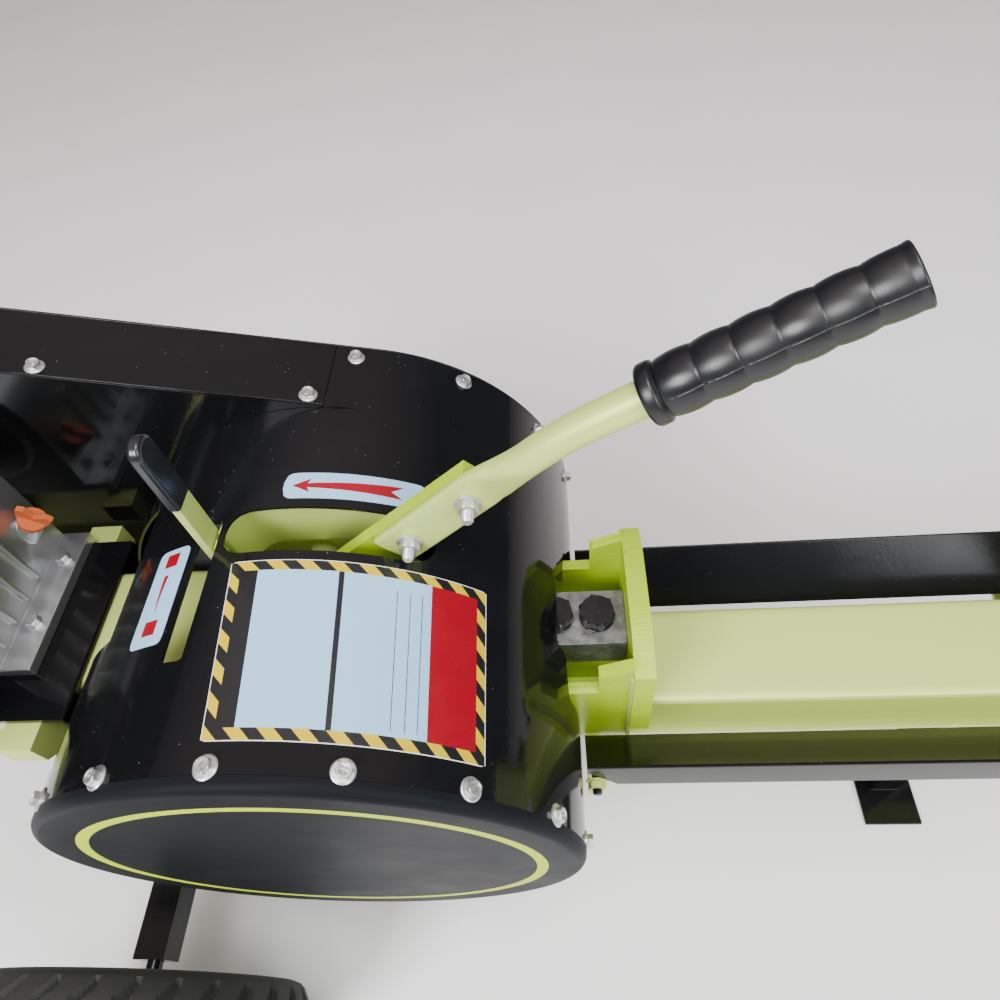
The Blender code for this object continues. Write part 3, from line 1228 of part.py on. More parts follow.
# ---------------------------------------------------------------- running gear
def make_axle():
    """Square axle with round stubs, and the posts that carry the beam on it."""
    half = AXLE_W / 2
    axle = place("axle_frame", block(AXLE_X - half, AXLE_X + half, -AXLE_HALF, AXLE_HALF,
                               AXLE_Z - half, AXLE_Z + half), "gloss_black")
    stub_end = TYRE_IN + TYRE_W + 0.006
    weld(axle, rod(STUB_R, "Y", (AXLE_X, AXLE_Z), -stub_end, stub_end, 12))
    for sign in (-1, 1):
        y0, y1 = sorted((sign * (TYRE_IN + TYRE_W / 2 + HUB_HALF + GAP),
                         sign * (TYRE_IN + TYRE_W / 2 + HUB_HALF + 0.012)))
        weld(axle, slab(hexagon(0.030, (AXLE_X, AXLE_Z)), "Y", y0, y1))
    top = BEAM_BOTTOM - GAP
    low = AXLE_Z + half - 0.002
    weld(axle, block(AXLE_X - 0.060, AXLE_X + 0.060, -BEAM_HALF, BEAM_HALF, top - 0.006, top))
    for sign in (-1, 1):
        y0, y1 = sorted((sign * 0.030, sign * 0.052))
        post = [(AXLE_X - 0.050, top - 0.002), (AXLE_X + 0.050, top - 0.002),
                (AXLE_X + 0.022, low), (AXLE_X - 0.022, low)]
        weld(axle, slab(post, "Y", y0, y1))


def tyre_profile():
    """Half-round tyre section with a bead seat."""
    half = TYRE_W / 2
    bead = RIM_R + GAP
    return [(bead, -half * 0.62), (RIM_R + 0.018, -half * 0.92), (RIM_R + 0.050, -half),
            (TYRE_R - 0.014, -half * 0.84), (TYRE_R, -half * 0.40), (TYRE_R, half * 0.40),
            (TYRE_R - 0.014, half * 0.84), (RIM_R + 0.050, half),
            (RIM_R + 0.018, half * 0.92), (bead, half * 0.62)]


def make_wheels():
    for side, sign in (("near", -1), ("far", 1)):
        middle = sign * (TYRE_IN + TYRE_W / 2)
        centre = (AXLE_X, middle, AXLE_Z)
        place(f"tyre_{side}", lathe(tyre_profile(), "Y", centre, TYRE_STEPS), "rubber",
              origin=centre, smooth=True)
        hub, dish = 0.024, sign * 0.010
        half = TYRE_W * 0.31
        bore = STUB_R + GAP
        profile = [(bore, -HUB_HALF), (hub, -HUB_HALF), (hub, dish - 0.004), (0.080, dish - 0.004),
                   (RIM_R - 0.008, -half), (RIM_R, -half - 0.001), (RIM_R, half + 0.001),
                   (RIM_R - 0.008, half), (0.080, dish + 0.002), (hub, dish + 0.002),
                   (hub, HUB_HALF), (bore, HUB_HALF)]
        place(f"rim_{side}", lathe(profile, "Y", centre, TYRE_STEPS), "rim_lime",
              origin=centre, smooth=True)


# ---------------------------------------------------------------- engine
def make_engine_plate():
    """Black plate with a turned-down front edge, on the tunnel and four brackets."""
    outline = [(PLATE_BACK, PLATE_BOTTOM), (PLATE_FRONT - 0.004, PLATE_BOTTOM),
               (PLATE_FRONT - 0.004, PLATE_BOTTOM - 0.018), (PLATE_FRONT, PLATE_BOTTOM - 0.018),
               (PLATE_FRONT, PLATE_TOP - 0.002), (PLATE_FRONT - 0.002, PLATE_TOP),
               (PLATE_BACK, PLATE_TOP)]
    plate = place("engine_plate", slab(outline, "Y", -PLATE_HALF, PLATE_HALF), "gloss_black")
    gap = TUNNEL_HALF + 0.0006
    cut(plate, block(PLATE_FRONT - 0.02, PLATE_FRONT + 0.02, -gap, gap, 0.04, PLATE_BOTTOM))
    for x, y in engine_bolt_spots():
        cut(plate, hole(0.004 + GAP, "Z", (x, y), 0.05, 0.12, 12))


def engine_bolt_spots():
    return [(x, y) for x in (-0.300, -0.470) for y in (-0.004, 0.0715)]


def case_outline():
    """Crankcase seen from the side: feet, barrel and the slope to the cylinder."""
    base = PLATE_TOP + GAP
    centre = (ENGINE_X, ENGINE_Z)
    return ([(-0.488, base), (-0.284, base), (-0.284, base + FOOT_T), (-0.316, base + FOOT_T),
             (-0.316, 0.185)] + arc(centre, 0.084, 0, 100, 8)
            + [along_cylinder(CYLINDER_START, -0.045), along_cylinder(CYLINDER_START, 0.045),
               (-0.460, 0.150), (-0.460, base + FOOT_T), (-0.488, base + FOOT_T)])


def make_crankcase():
    case = place("crankcase", slab(case_outline(), "Y", CASE_Y0, CASE_Y1 - 0.012), "aluminium")
    weld(case, lathe([(0, CASE_Y1 - 0.014), (0.070, CASE_Y1 - 0.014), (0.066, CASE_Y1 - 0.004),
                      (0.034, CASE_Y1), (0.024, WRAP_Y1 - 0.002), (0, WRAP_Y1 - 0.002)],
                     "Y", (ENGINE_X, 0, ENGINE_Z), 20))
    ribs = [block(-0.3165, -0.309, y, y + 0.004, 0.118, 0.200) for y in (-0.036, -0.010, 0.016, 0.042)]
    for rib in ribs:
        weld(case, rib)
    weld(case, engine_bolts())
    cut(case, hole(CRANK_R + GAP, "Y", (ENGINE_X, ENGINE_Z), CASE_Y0 + 0.02, WRAP_Y1 + 0.01, 12))
    seat = dipstick_frame()
    weld(case, place_along(rod(0.0125, "Z", (0, 0), -0.020, FILLER_NECK, 16), seat))
    cut(case, place_along(hole(0.0075, "Z", (0, 0), -0.040, FILLER_NECK + 0.01, 12), seat))


def along_cylinder(u, v):
    """A point u along the cylinder axis from the crankshaft and v across it, in x, z."""
    a = math.radians(CYLINDER_DEG)
    return (ENGINE_X + u * math.cos(a) - v * math.sin(a), ENGINE_Z + u * math.sin(a) + v * math.cos(a))


def make_cylinder():
    """Barrel and head with cooling fins, leaning back from the crankcase."""
    start, core = CYLINDER_START + GAP, 0.036
    end = CYLINDER_TOP - HEAD_COVER
    y0, y1 = CYLINDER_Y0, CASE_Y1 - 0.040
    body = slab([along_cylinder(start, -core), along_cylinder(end, -core),
                 along_cylinder(end, core), along_cylinder(start, core)], "Y", y0, y1)
    cylinder = place("cylinder", body, "aluminium")
    fins = []
    for k in range(FINS):
        u = start + 0.006 + k * FIN_PITCH
        wide = 0.052
        fins.append(slab([along_cylinder(u, -wide), along_cylinder(u + FIN_T, -wide),
                          along_cylinder(u + FIN_T, wide), along_cylinder(u, wide)], "Y",
                         y0 - FIN_OUT, y1 + FIN_OUT))
    weld(cylinder, merge(fins))
    cover = [along_cylinder(end - 0.002, -0.040), along_cylinder(CYLINDER_TOP, -HEAD_HALF),
             along_cylinder(CYLINDER_TOP, HEAD_HALF), along_cylinder(end - 0.002, 0.040)]
    weld(cylinder, slab(cover, "Y", y0 + 0.004, y1 - 0.004))


def make_blower_housing():
    """Pressed shroud over the fan, with the starter pan on its face."""
    centre = (ENGINE_X, ENGINE_Z)
    outline = (arc(centre, BLOWER_R, -80, 75, 16)
               + [(-0.420, HOUSING_TOP), (-0.494, HOUSING_TOP), (-0.500, 0.110)])
    y0, y1 = BLOWER_Y0, CASE_Y0 - GAP
    bm = slab(outline, "Y", y0, y1)
    rim = [e for e in bm.edges if max(v.co.y for v in e.verts) < y0 + 1e-4]
    bmesh.ops.bevel(bm, geom=rim, offset=0.010, segments=3, profile=0.5, affect="EDGES")
    housing = place("blower_housing", bm, "gloss_black", smooth=True)
    cut(housing, hole(BLOWER_R - 0.012, "Y", centre, y0 + 0.014, y1 + 0.01, 14))


def make_recoil_starter():
    y0, y1 = STARTER_Y0, BLOWER_Y0 - GAP
    profile = [(0, y0), (STARTER_R - 0.026, y0), (STARTER_R - 0.018, y0 + 0.003),
               (STARTER_R - 0.004, y0 + 0.022), (STARTER_R, y1), (0, y1)]
    pan = place("recoil_starter", lathe(profile, "Y", (ENGINE_X, 0, ENGINE_Z), 16),
                "black_plastic", smooth=True)
    weld(pan, soft_block(ENGINE_X + 0.036, ENGINE_X + 0.072, y0 + 0.008, y1 - 0.001,
                         ENGINE_Z + 0.036, ENGINE_Z + 0.078, 0.003))
    vents = []
    for k in range(6):
        a = 60.0 * k + 30.0
        vent = slab(round_outline(0.022, 0.006, 0.0020, (0.036, 0.0), 1), "Y", y0 - 0.01, y0 + 0.006)
        turned(vent, -a, "Y", (0, 0, 0))
        bmesh.ops.translate(vent, verts=vent.verts, vec=(ENGINE_X, 0, ENGINE_Z))
        vents.append(vent)
    cut(pan, merge(vents))


RECOIL_GRIP = (ENGINE_X + 0.054, -0.168, ENGINE_Z + 0.0783)


def make_recoil_grip():
    """T-shaped pull handle sitting on the starter's outlet."""
    x, y, z = RECOIL_GRIP
    bm = merge_union(soft_block(x - 0.010, x + 0.010, y - 0.030, y + 0.014, z + 0.012, z + 0.028,
                                0.005, 2),
                     soft_block(x - 0.007, x + 0.007, y - 0.008, y + 0.008, z, z + 0.018, 0.002, 1))
    place("recoil_grip", bm, "black_plastic", origin=RECOIL_GRIP, smooth=True)


def make_fuel_tank():
    bm = soft_block(-0.500, -0.300, -0.142, 0.095, TANK_Z0, TANK_Z1, 0.022, 3)
    tank = place("fuel_tank", bm, "gloss_black", smooth=True)
    weld(tank, rod(0.020, "Z", (TANK_CAP[0], TANK_CAP[1]), TANK_Z1 - 0.004, TANK_Z1 + 0.004, 16))
    weld(tank, block(-0.432, -0.398, 0.030, 0.070, CASE_TOP + GAP, TANK_Z0 + 0.004))
    weld(tank, block(-0.480, -0.440, -0.120, -0.080, HOUSING_TOP + GAP, TANK_Z0 + 0.004))


TANK_CAP = (-0.430, -0.050, TANK_Z1 + 0.0043)


def make_fuel_cap():
    """Screw cap with grip lobes."""
    x, y, z = TANK_CAP
    lobes = 6
    outline = []
    for k in range(lobes):
        for share, radius in ((0.0, 0.029), (0.35, 0.029), (0.5, 0.0265), (0.85, 0.0265)):
            a = math.tau * (k + share) / lobes
            outline.append((x + radius * math.cos(a), y + radius * math.sin(a)))
    bm = slab(outline, "Z", z, z + 0.016)
    top = [e for e in bm.edges if min(v.co.z for v in e.verts) > z + 0.0155]
    bmesh.ops.bevel(bm, geom=top, offset=0.002, segments=1, profile=0.5, affect="EDGES")
    place("fuel_cap", bm, "black_plastic", origin=TANK_CAP, smooth=False)


def make_air_cleaner():
    bm = soft_block(HEAD_BACK, HEAD_BACK + 0.118, -0.150, CYLINDER_Y0 - FIN_OUT - 0.004, 0.285, 0.400, 0.014, 2)
    cleaner = place("air_cleaner", bm, "black_plastic", smooth=True)
    for z in (0.310, 0.330, 0.350):
        cut(cleaner, block(HEAD_BACK - 0.01, HEAD_BACK + 0.003, -0.130, -0.072, z, z + 0.006))


def make_carburettor():
    """Carburettor below the air cleaner, bolted to the cylinder's intake, with its bowl."""
    x, y = CARB
    bm = merge_union(soft_block(x - 0.020, x + 0.020, y - 0.022, CYLINDER_Y0 - FIN_OUT - GAP, 0.236, 0.2847, 0.003, 1),
                     lathe([(0, 0.206), (0.016, 0.206), (0.018, 0.212), (0.018, 0.240), (0, 0.240)],
                           "Z", (x, y, 0), 20))
    place("carburettor", bm, "aluminium", smooth=True)


CARB = (-0.545, -0.085)


def lever_blade(name, pivot, length, degrees, finish):
    """Small control lever: a round boss on its pivot and a flat blade."""
    x, y, z = pivot
    blade = slab([(x, z - 0.004), (x + length, z - 0.003), (x + length, z + 0.003), (x, z + 0.004)],
                 "Y", y - 0.003, y)
    tab = block(x + length - 0.010, x + length + 0.002, y - 0.010, y, z - 0.006, z + 0.006)
    boss = rod(0.007, "Y", (x, z), y - 0.006, y, 16)
    bm = turned(merge_union(blade, tab, boss), -degrees, "Y", pivot)
    place(name, bm, finish, origin=pivot)


def make_control_levers():
    """Choke and fuel valve on the carburettor, throttle on the housing, and the switch."""
    x, y = CARB
    face = y - 0.022 - GAP
    lever_blade("choke_lever", (x, face, 0.270), 0.030, 172, "black_plastic")
    lever_blade("fuel_valve_lever", (x, face, 0.248), 0.026, 205, "black_plastic")
    lever_blade("throttle_lever", (-0.475, BLOWER_Y0 - GAP, 0.296), 0.034, 165, "steel")


SWITCH = (-0.452, BLOWER_Y0 - GAP, 0.292)


def make_switch():
    """Turn knob of the engine switch on the housing's face."""
    x, y, z = SWITCH
    bm = merge_union(rod(0.011, "Y", (x, z), y - 0.006, y, 24),
                     block(x - 0.0025, x + 0.0025, y - 0.012, y - 0.005, z - 0.010, z + 0.010))
    place("engine_switch", bm, "orange", origin=SWITCH, smooth=True)


def make_silencer():
    """Box silencer with a slotted guard and its outlet, above the cylinder head."""
    bm = soft_block(HEAD_BACK + 0.002, HEAD_BACK + 0.126, 0.004, 0.128, 0.3215, 0.410, 0.012, 2)
    box = place("silencer", bm, "steel", smooth=True)
    for k in range(5):
        z = 0.337 + k * 0.012
        cut(box, block(HEAD_BACK - 0.01, HEAD_BACK + 0.005, 0.030, 0.104, z, z + 0.005))
    x, z = along_cylinder(CYLINDER_TOP, -HEAD_HALF)
    weld(box, rod(0.015, "Z", (x, 0.036), z + GAP, 0.325, 16))


def dipstick_frame():
    """Seat of the dipstick on the crankcase corner and its tilt."""
    return Vector((-0.3150, 0.082, 0.150)), 42.0


def place_along(bm, seat):
    """Turns a Z-axis shape to lean towards +X and moves it to its seat."""
    where, degrees = seat
    turned(bm, degrees, "Y", (0, 0, 0))
    bmesh.ops.translate(bm, verts=bm.verts, vec=where)
    return bm


def make_dipstick():
    """Oil filler cap with a winged grip and its stick."""
    seat = dipstick_frame()
    low = FILLER_NECK + GAP
    wings = slab([(-0.015, low + 0.005), (0.015, low + 0.005), (0.017, low + 0.018),
                  (0.010, low + 0.020), (0.0, low + 0.012), (-0.010, low + 0.020),
                  (-0.017, low + 0.018)], "Y", -0.003, 0.003)
    bm = merge_union(rod(0.0135, "Z", (0, 0), low, low + 0.007, 16), wings,
                     rod(0.0065, "Z", (0, 0), -0.034, low + 0.003, 12))
    place("oil_dipstick", place_along(bm, seat), "orange", origin=tuple(seat[0]), smooth=True)


def make_spark_cap():
    """Rubber cap on the spark plug at the head's end."""
    a, b = along_cylinder(CYLINDER_TOP + GAP, 0.0), CYLINDER_DEG
    bm = rod(0.009, "X", (0, 0), 0.0, 0.022, 16)
    turned(bm, -b, "Y", (0, 0, 0))
    bmesh.ops.translate(bm, verts=bm.verts, vec=(a[0], 0.020, a[1]))
    place("spark_plug_cap", bm, "rubber", smooth=True)


# ---------------------------------------------------------------- the whole machine
def main():
    clear_scene()
    for make in (make_beam, make_cheeks, make_tunnel, make_lift_pad, make_drum_wrap,
                 make_near_cover, make_belt_guard):
        make()
    make_flywheel("flywheel_near", NEAR_WHEEL_Y)
    make_flywheel("flywheel_far", FAR_WHEEL_Y)
    for make in (make_shaft, make_bearings, make_pulleys, make_belt, make_rack,
                 make_pusher, make_clamp_block, make_clamp_bolts, make_return_spring,
                 make_handle_arm, make_handle_tube, make_handle_grip, make_handle_bolts,
                 make_press_roller, make_safety_lever, make_lever_sleeve,
                 make_pivot_bolts, make_cradles,
                 make_wedge, make_leg, make_lift_handle, make_axle, make_wheels,
                 make_engine_plate, make_crankcase,
                 make_cylinder, make_blower_housing, make_recoil_starter,
                 make_recoil_grip, make_fuel_tank, make_fuel_cap,
                 make_air_cleaner, make_carburettor, make_control_levers, make_switch,
                 make_silencer, make_dipstick, make_spark_cap):
        make()


main()
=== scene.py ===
"""Looks of a petrol log splitter: paint, sheet metal, cast parts, rubber and labels around the CAD frame."""
import json
import math

import bmesh
import bpy
import numpy as np
from bpy.props import FloatProperty, FloatVectorProperty, IntProperty, PointerProperty
from mathutils import Matrix

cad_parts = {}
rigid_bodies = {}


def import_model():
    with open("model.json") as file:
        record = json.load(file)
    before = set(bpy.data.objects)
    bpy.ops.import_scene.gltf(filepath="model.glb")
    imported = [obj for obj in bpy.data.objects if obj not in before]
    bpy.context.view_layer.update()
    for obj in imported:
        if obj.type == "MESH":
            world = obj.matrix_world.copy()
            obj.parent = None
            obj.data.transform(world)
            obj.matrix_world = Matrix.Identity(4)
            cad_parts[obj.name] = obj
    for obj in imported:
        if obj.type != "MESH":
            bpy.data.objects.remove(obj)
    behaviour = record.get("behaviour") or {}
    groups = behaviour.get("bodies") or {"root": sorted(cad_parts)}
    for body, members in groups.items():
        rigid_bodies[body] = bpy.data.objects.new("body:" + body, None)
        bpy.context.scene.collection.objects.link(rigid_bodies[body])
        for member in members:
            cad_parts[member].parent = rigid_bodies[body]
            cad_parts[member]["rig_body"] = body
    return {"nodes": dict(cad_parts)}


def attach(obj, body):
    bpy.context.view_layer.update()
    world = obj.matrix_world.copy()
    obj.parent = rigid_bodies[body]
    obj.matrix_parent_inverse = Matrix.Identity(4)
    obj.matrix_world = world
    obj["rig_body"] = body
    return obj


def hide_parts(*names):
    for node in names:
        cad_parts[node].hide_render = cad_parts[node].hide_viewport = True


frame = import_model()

bl_info = {
    "name": "Log splitter",
    "version": (1, 0, 0),
    "blender": (4, 5, 0),
    "location": "3D View > Sidebar > Log splitter",
    "description": "Builds the painted sheet metal, handle, beam, wheels and engine of a log splitter",
    "category": "Object",
}

# ---------------------------------------------------------------- fixed sizes, in metres
ORIGIN = np.array([-0.200, 0.0, 0.500])   # flywheel axis, and the zero of every shape below
GAP = 0.0003
SHEET = 0.0025
WRAP_Y0, WRAP_Y1 = -0.1937, 0.1397        # drum wrap, from the near cover to the belt chamber
GUARD_Y0, GUARD_Y1 = 0.1400, 0.2220       # belt guard strip
GUARD_FACE_Y = 0.2248
TAIL = np.array([-0.400, 0.200])          # engine crankshaft, in x, z
TAIL_R = 0.140
SPLIT = 5.4                               # degrees below the axis where the wrap is split
TANGENT, TANGENT_LOW = 76.4, 230.5        # degrees where the guard strip leaves the drum
SEAM_RUN = 0.040
COVER_Y = -0.206
COVER_EDGE = 0.012
COVER_ROLL = 0.0085                       # radius of the rolled rim as it shows
BOLT_Y = -0.1855
BOLT_FIRST = 113.4
BEAM_TOP, BEAM_HALF, BEAM_H = -0.0229, 0.0522, 0.100
BEAM_X0, BEAM_X1 = -0.560, 0.900
PIVOT = np.array([0.0, 0.0, 0.1313])
ARM_DEG = 41.0
TUBE_BEND = np.array([0.2363, 0.3435])
GRIP_DEG = 30.2
LEVER_X, LEVER_Y, LEVER_Z0, LEVER_Z1 = -0.0605, -0.012, 0.120, 0.355
SLOT_MIDDLE = np.array([0.040, 0.002])    # middle of the handle slot, in x, y
SEAM_ANGLE = 0.39                         # the grip's parting groove, in radians round its axis
SKIRT_FOOT = 0.166                        # lower edge of the skirt under that slot
LEVER_OUT_Y = 0.001                       # the lever stands here where it leaves its slot

# the photograph's camera, in world metres and millimetres of lens
CAMERA_SPOT = (0.0385, -0.3243, 1.1933)
CAMERA_RIGHT, CAMERA_UP = (0.9942, 0.015, -0.1065), (0.0522, 0.7989, 0.5992)
CAMERA_BACK = (0.0941, -0.6013, 0.7935)
LENS, SENSOR = 25.34, 36.0
# name, place, what it looks at, width, watts, colour
LIGHTS = (("key", (-1.7, -2.5, 3.1), (-0.1, 0.0, 0.4), 1.5, 215.0, (1.0, 1.0, 1.0)),
          ("fill", (2.6, -2.4, 2.9), (0.1, 0.0, 0.4), 2.0, 120.0, (0.96, 0.99, 1.0)),
          ("top", (0.4, -0.6, 4.2), (0.1, 0.1, 0.4), 1.6, 105.0, (1.0, 1.0, 1.0)))


# ---------------------------------------------------------------- shells: points and faces as arrays
def grid_faces(rows, columns, close_rows=False, close_columns=False):
    """Four corner numbers of each face between neighbouring rows and columns of a grid of points."""
    i, j = np.meshgrid(np.arange(rows if close_rows else rows - 1),
                       np.arange(columns if close_columns else columns - 1), indexing="ij")
    k, m = (i + 1) % rows, (j + 1) % columns
    return np.stack([i * columns + j, i * columns + m, k * columns + m, k * columns + j], -1).reshape(-1, 4)


def skin(points, close_rows=False, close_columns=True, caps=False):
    """A shell over a grid of points; caps close the first and the last row with one face each."""
    rows, columns = points.shape[:2]
    faces = [grid_faces(rows, columns, close_rows, close_columns)]
    if caps:
        faces += [np.arange(columns)[None, ::-1], (np.arange(columns) + (rows - 1) * columns)[None]]
    return points.reshape(-1, 3), faces


def joined(*shells):
    """Several shells as one: the corner numbers move on by the points that come before."""
    starts = np.cumsum([0] + [len(v) for v, _ in shells[:-1]])
    return (np.vstack([v for v, _ in shells]),
            [f + n for n, (_, faces) in zip(starts, shells) for f in faces])


def across(axis, u, v, w):
    """Points with w along the axis and u, v across it, put in x, y, z order."""
    u, v, w = np.broadcast_arrays(u, v, w)
    order = {"X": (w, u, v), "Y": (u, w, v), "Z": (u, v, w)}[axis]
    return np.stack(order, -1)


def plate(outline, axis, low, high):
    """A closed outline (u, v) carried straight along an axis from low to high, with flat ends."""
    outline = np.asarray(outline, float)
    return skin(across(axis, outline[None, :, 0], outline[None, :, 1], np.array([[low], [high]])), caps=True)


def box(x0, x1, y0, y1, z0, z1):
    return plate([(x0, y0), (x1, y0), (x1, y1), (x0, y1)], "Z", z0, z1)


def arc(radius, start, end, steps, centre=(0.0, 0.0)):
    """Points at radius (cos a, sin a) from a centre, a in degrees from start to end."""
    a = np.radians(np.linspace(start, end, steps + 1))
    return np.stack([centre[0] + radius * np.cos(a), centre[1] + radius * np.sin(a)], -1)


def rounded(outline, radius, steps=5):
    """An outline whose corners are cut back by 'radius' along both sides and replaced by a
    quadratic curve with the corner as its middle control point."""
    p = np.asarray(outline, float)
    radius = np.broadcast_to(radius, len(p))[:, None]
    before, after = np.roll(p, 1, 0) - p, np.roll(p, -1, 0) - p
    la, lb = np.linalg.norm(before, axis=1)[:, None], np.linalg.norm(after, axis=1)[:, None]
    a = p + before / la * np.minimum(radius, la * 0.49)
    b = p + after / lb * np.minimum(radius, lb * 0.49)
    t = np.linspace(0, 1, steps + 1)[None, :, None]
    return (a[:, None] * (1 - t) ** 2 + p[:, None] * 2 * t * (1 - t) + b[:, None] * t ** 2).reshape(-1, 2)


def dense(outline, step):
    """The same closed outline with points about every 'step' along its sides."""
    p = np.asarray(outline, float)
    closed = np.vstack([p, p[:1]])
    length = np.concatenate([[0], np.cumsum(np.linalg.norm(np.diff(closed, axis=0), axis=1))])
    s = np.unique(np.concatenate([length[:-1], np.arange(0, length[-1], step)]))
    return np.stack([np.interp(s, length, closed[:, k]) for k in (0, 1)], -1)


def offset(line, distance):
    """An open line moved to its left by 'distance', mitred where it turns."""
    d = np.diff(line, axis=0)
    d /= np.linalg.norm(d, axis=1)[:, None]
    n = np.stack([-d[:, 1], d[:, 0]], -1)
    first, last = np.vstack([n[:1], n]), np.vstack([n, n[-1:]])
    middle = first + last
    middle /= np.linalg.norm(middle, axis=1)[:, None]
    return line + middle * (distance / np.sum(middle * first, axis=1))[:, None]


def turned(profile, axis, centre, steps=64, closed=False):
    """A profile of (radius, along) turned about an axis: r cos a and r sin a across it."""
    profile = np.asarray(profile, float)
    a = np.linspace(0, 2 * np.pi, steps, endpoint=False)[None]
    r, w = profile[:, :1], profile[:, 1:]
    points = across(axis, r * np.cos(a), r * np.sin(a), w + 0 * a)
    return skin(points + np.asarray(centre, float), close_rows=closed, caps=not closed)


def swept(profile, path, up=(0.0, 0.0, 1.0), closed=False):
    """A closed profile (u, v) carried along a path: u lies across the path, v towards 'up'."""
    profile, path = np.asarray(profile, float), np.asarray(path, float)
    if closed:
        along = np.roll(path, -1, 0) - np.roll(path, 1, 0)
    else:
        along = np.gradient(path, axis=0)
    along /= np.linalg.norm(along, axis=1)[:, None]
    side = np.cross(np.broadcast_to(up, along.shape), along)
    side /= np.linalg.norm(side, axis=1)[:, None]
    rise = np.cross(along, side)
    if profile.ndim == 2:
        profile = np.broadcast_to(profile, (len(path), *profile.shape))
    points = path[:, None] + side[:, None] * profile[..., :1] + rise[:, None] * profile[..., 1:]
    return skin(points, close_rows=closed, caps=not closed)


def circle(radius, steps=24):
    return arc(radius, 0, 360 - 360 / steps, steps - 1)


def unit(v):
    v = np.asarray(v, float)
    return v / np.linalg.norm(v)


def aimed(shell, where, direction, spin=0.0):
    """A shell drawn along +Z, turned by 'spin' degrees, laid along a direction and moved to a point."""
    z = unit(direction)
    x = unit(np.cross([0, 1, 0] if abs(z[1]) < 0.9 else [1, 0, 0], z))
    turn = np.stack([x, np.cross(z, x), z], -1)
    c, s = math.cos(math.radians(spin)), math.sin(math.radians(spin))
    spun = np.array([[c, -s, 0], [s, c, 0], [0, 0, 1]])
    return shell[0] @ spun.T @ turn.T + np.asarray(where, float), shell[1]


def mirrored(shell):
    """The shell on the other side of the beam, its faces turned back."""
    return shell[0] * (1, -1, 1), [f[:, ::-1] for f in shell[1]]


def polar(rings, steps=48):
    """Rings of (height, radius), where a radius is a number or a function of the angle, joined
    one above the other: r(a) cos a, r(a) sin a, height."""
    a = np.linspace(0, 2 * np.pi, steps, endpoint=False)
    r = np.array([radius(a) if callable(radius) else np.full(steps, radius) for _, radius in rings])
    h = np.array([height for height, _ in rings])[:, None] + 0 * r
    return skin(np.stack([r * np.cos(a), r * np.sin(a), h], -1), caps=True)


def six_sides(size, limit=9.0):
    """Radius of a hexagon 'size' across its flats, (size / 2) / cos of the angle from the nearest
    flat, and never more than 'limit'."""
    return lambda a: np.minimum(size / 2 / np.cos((a + np.pi / 6) % (np.pi / 3) - np.pi / 6), limit)


def cross_hole(length, width):
    """Radius of a cross: the farther of the ways out of two bars of half 'length' and half 'width'."""
    def radius(a):
        c, s = np.maximum(abs(np.cos(a)), 1e-6), np.maximum(abs(np.sin(a)), 1e-6)
        return np.maximum(np.minimum(length / c, width / s), np.minimum(width / c, length / s))
    return radius


def flange_bolt(size=0.0106, height=0.0068, flange=0.0088):
    """Hexagon head on a round flange with a cross recess, seat at z = 0."""
    return polar([(-0.001, flange * 0.8), (0.0, flange), (0.0009, flange), (0.0016, flange - 0.0010),
                  (0.0017, six_sides(size)), (height - 0.0012, six_sides(size)),
                  (height - 0.0004, six_sides(size, size * 0.535)), (height, six_sides(size, size * 0.49)),
                  (height, size * 0.40), (height - 0.0006, size * 0.36),
                  (height - 0.0008, cross_hole(size * 0.28, size * 0.075)),
                  (height - 0.0032, cross_hole(size * 0.16, size * 0.05)), (height - 0.0034, 0.0)], 48)


def hex_head(size, height, washer=0.0):
    """Plain hexagon head or nut with its corners chamfered by a cone and a round washer face."""
    rings = [(0.0, washer or size * 0.46), (0.0004, washer or size * 0.48)]
    if washer:
        rings += [(0.0014, washer), (0.0017, washer - 0.0004), (0.0018, size * 0.47)]
    base = rings[-1][0]
    return polar(rings + [(base + 0.0002, six_sides(size, size * 0.53)), (base + 0.001, six_sides(size)),
                          (base + height - 0.0012, six_sides(size)),
                           (base + height, six_sides(size, size * 0.50)),
                          (base + height, size * 0.44), (base + height - 0.0003, 0.0)], 48)


def thread(radius, pitch, length, steps=20, per_turn=7):
    """A threaded stud from z = 0: its radius falls and rises by the thread's depth with the phase
    z / pitch - angle / turn, and its tip is chamfered."""
    rows = int(length / pitch * per_turn) + 1
    z = np.linspace(0, length, rows)[:, None]
    a = np.linspace(0, 2 * np.pi, steps, endpoint=False)[None]
    phase = (z / pitch - a / (2 * np.pi)) % 1.0
    r = radius - pitch * 0.55 * (1 - abs(2 * phase - 1))
    r = np.minimum(r, radius - np.clip(z - (length - pitch), 0, None) * 0.9)
    return skin(np.stack([r * np.cos(a), r * np.sin(a), z + 0 * a], -1), caps=True)


# ---------------------------------------------------------------- pieces
def from_shell(name, shell, welded=1e-6):
    """A mesh object from a shell: doubles merged, faces turned outwards."""
    verts, faces = shell
    mesh = bpy.data.meshes.new(name)
    mesh.from_pydata((verts + ORIGIN).tolist(), [], [f for group in faces for f in group.tolist()])
    bm = bmesh.new()
    bm.from_mesh(mesh)
    bmesh.ops.remove_doubles(bm, verts=bm.verts, dist=welded)
    bmesh.ops.dissolve_degenerate(bm, edges=bm.edges, dist=1e-7)
    bmesh.ops.recalc_face_normals(bm, faces=bm.faces)
    bm.to_mesh(mesh)
    bm.free()
    obj = bpy.data.objects.new(name, mesh)
    bpy.context.scene.collection.objects.link(obj)
    return obj


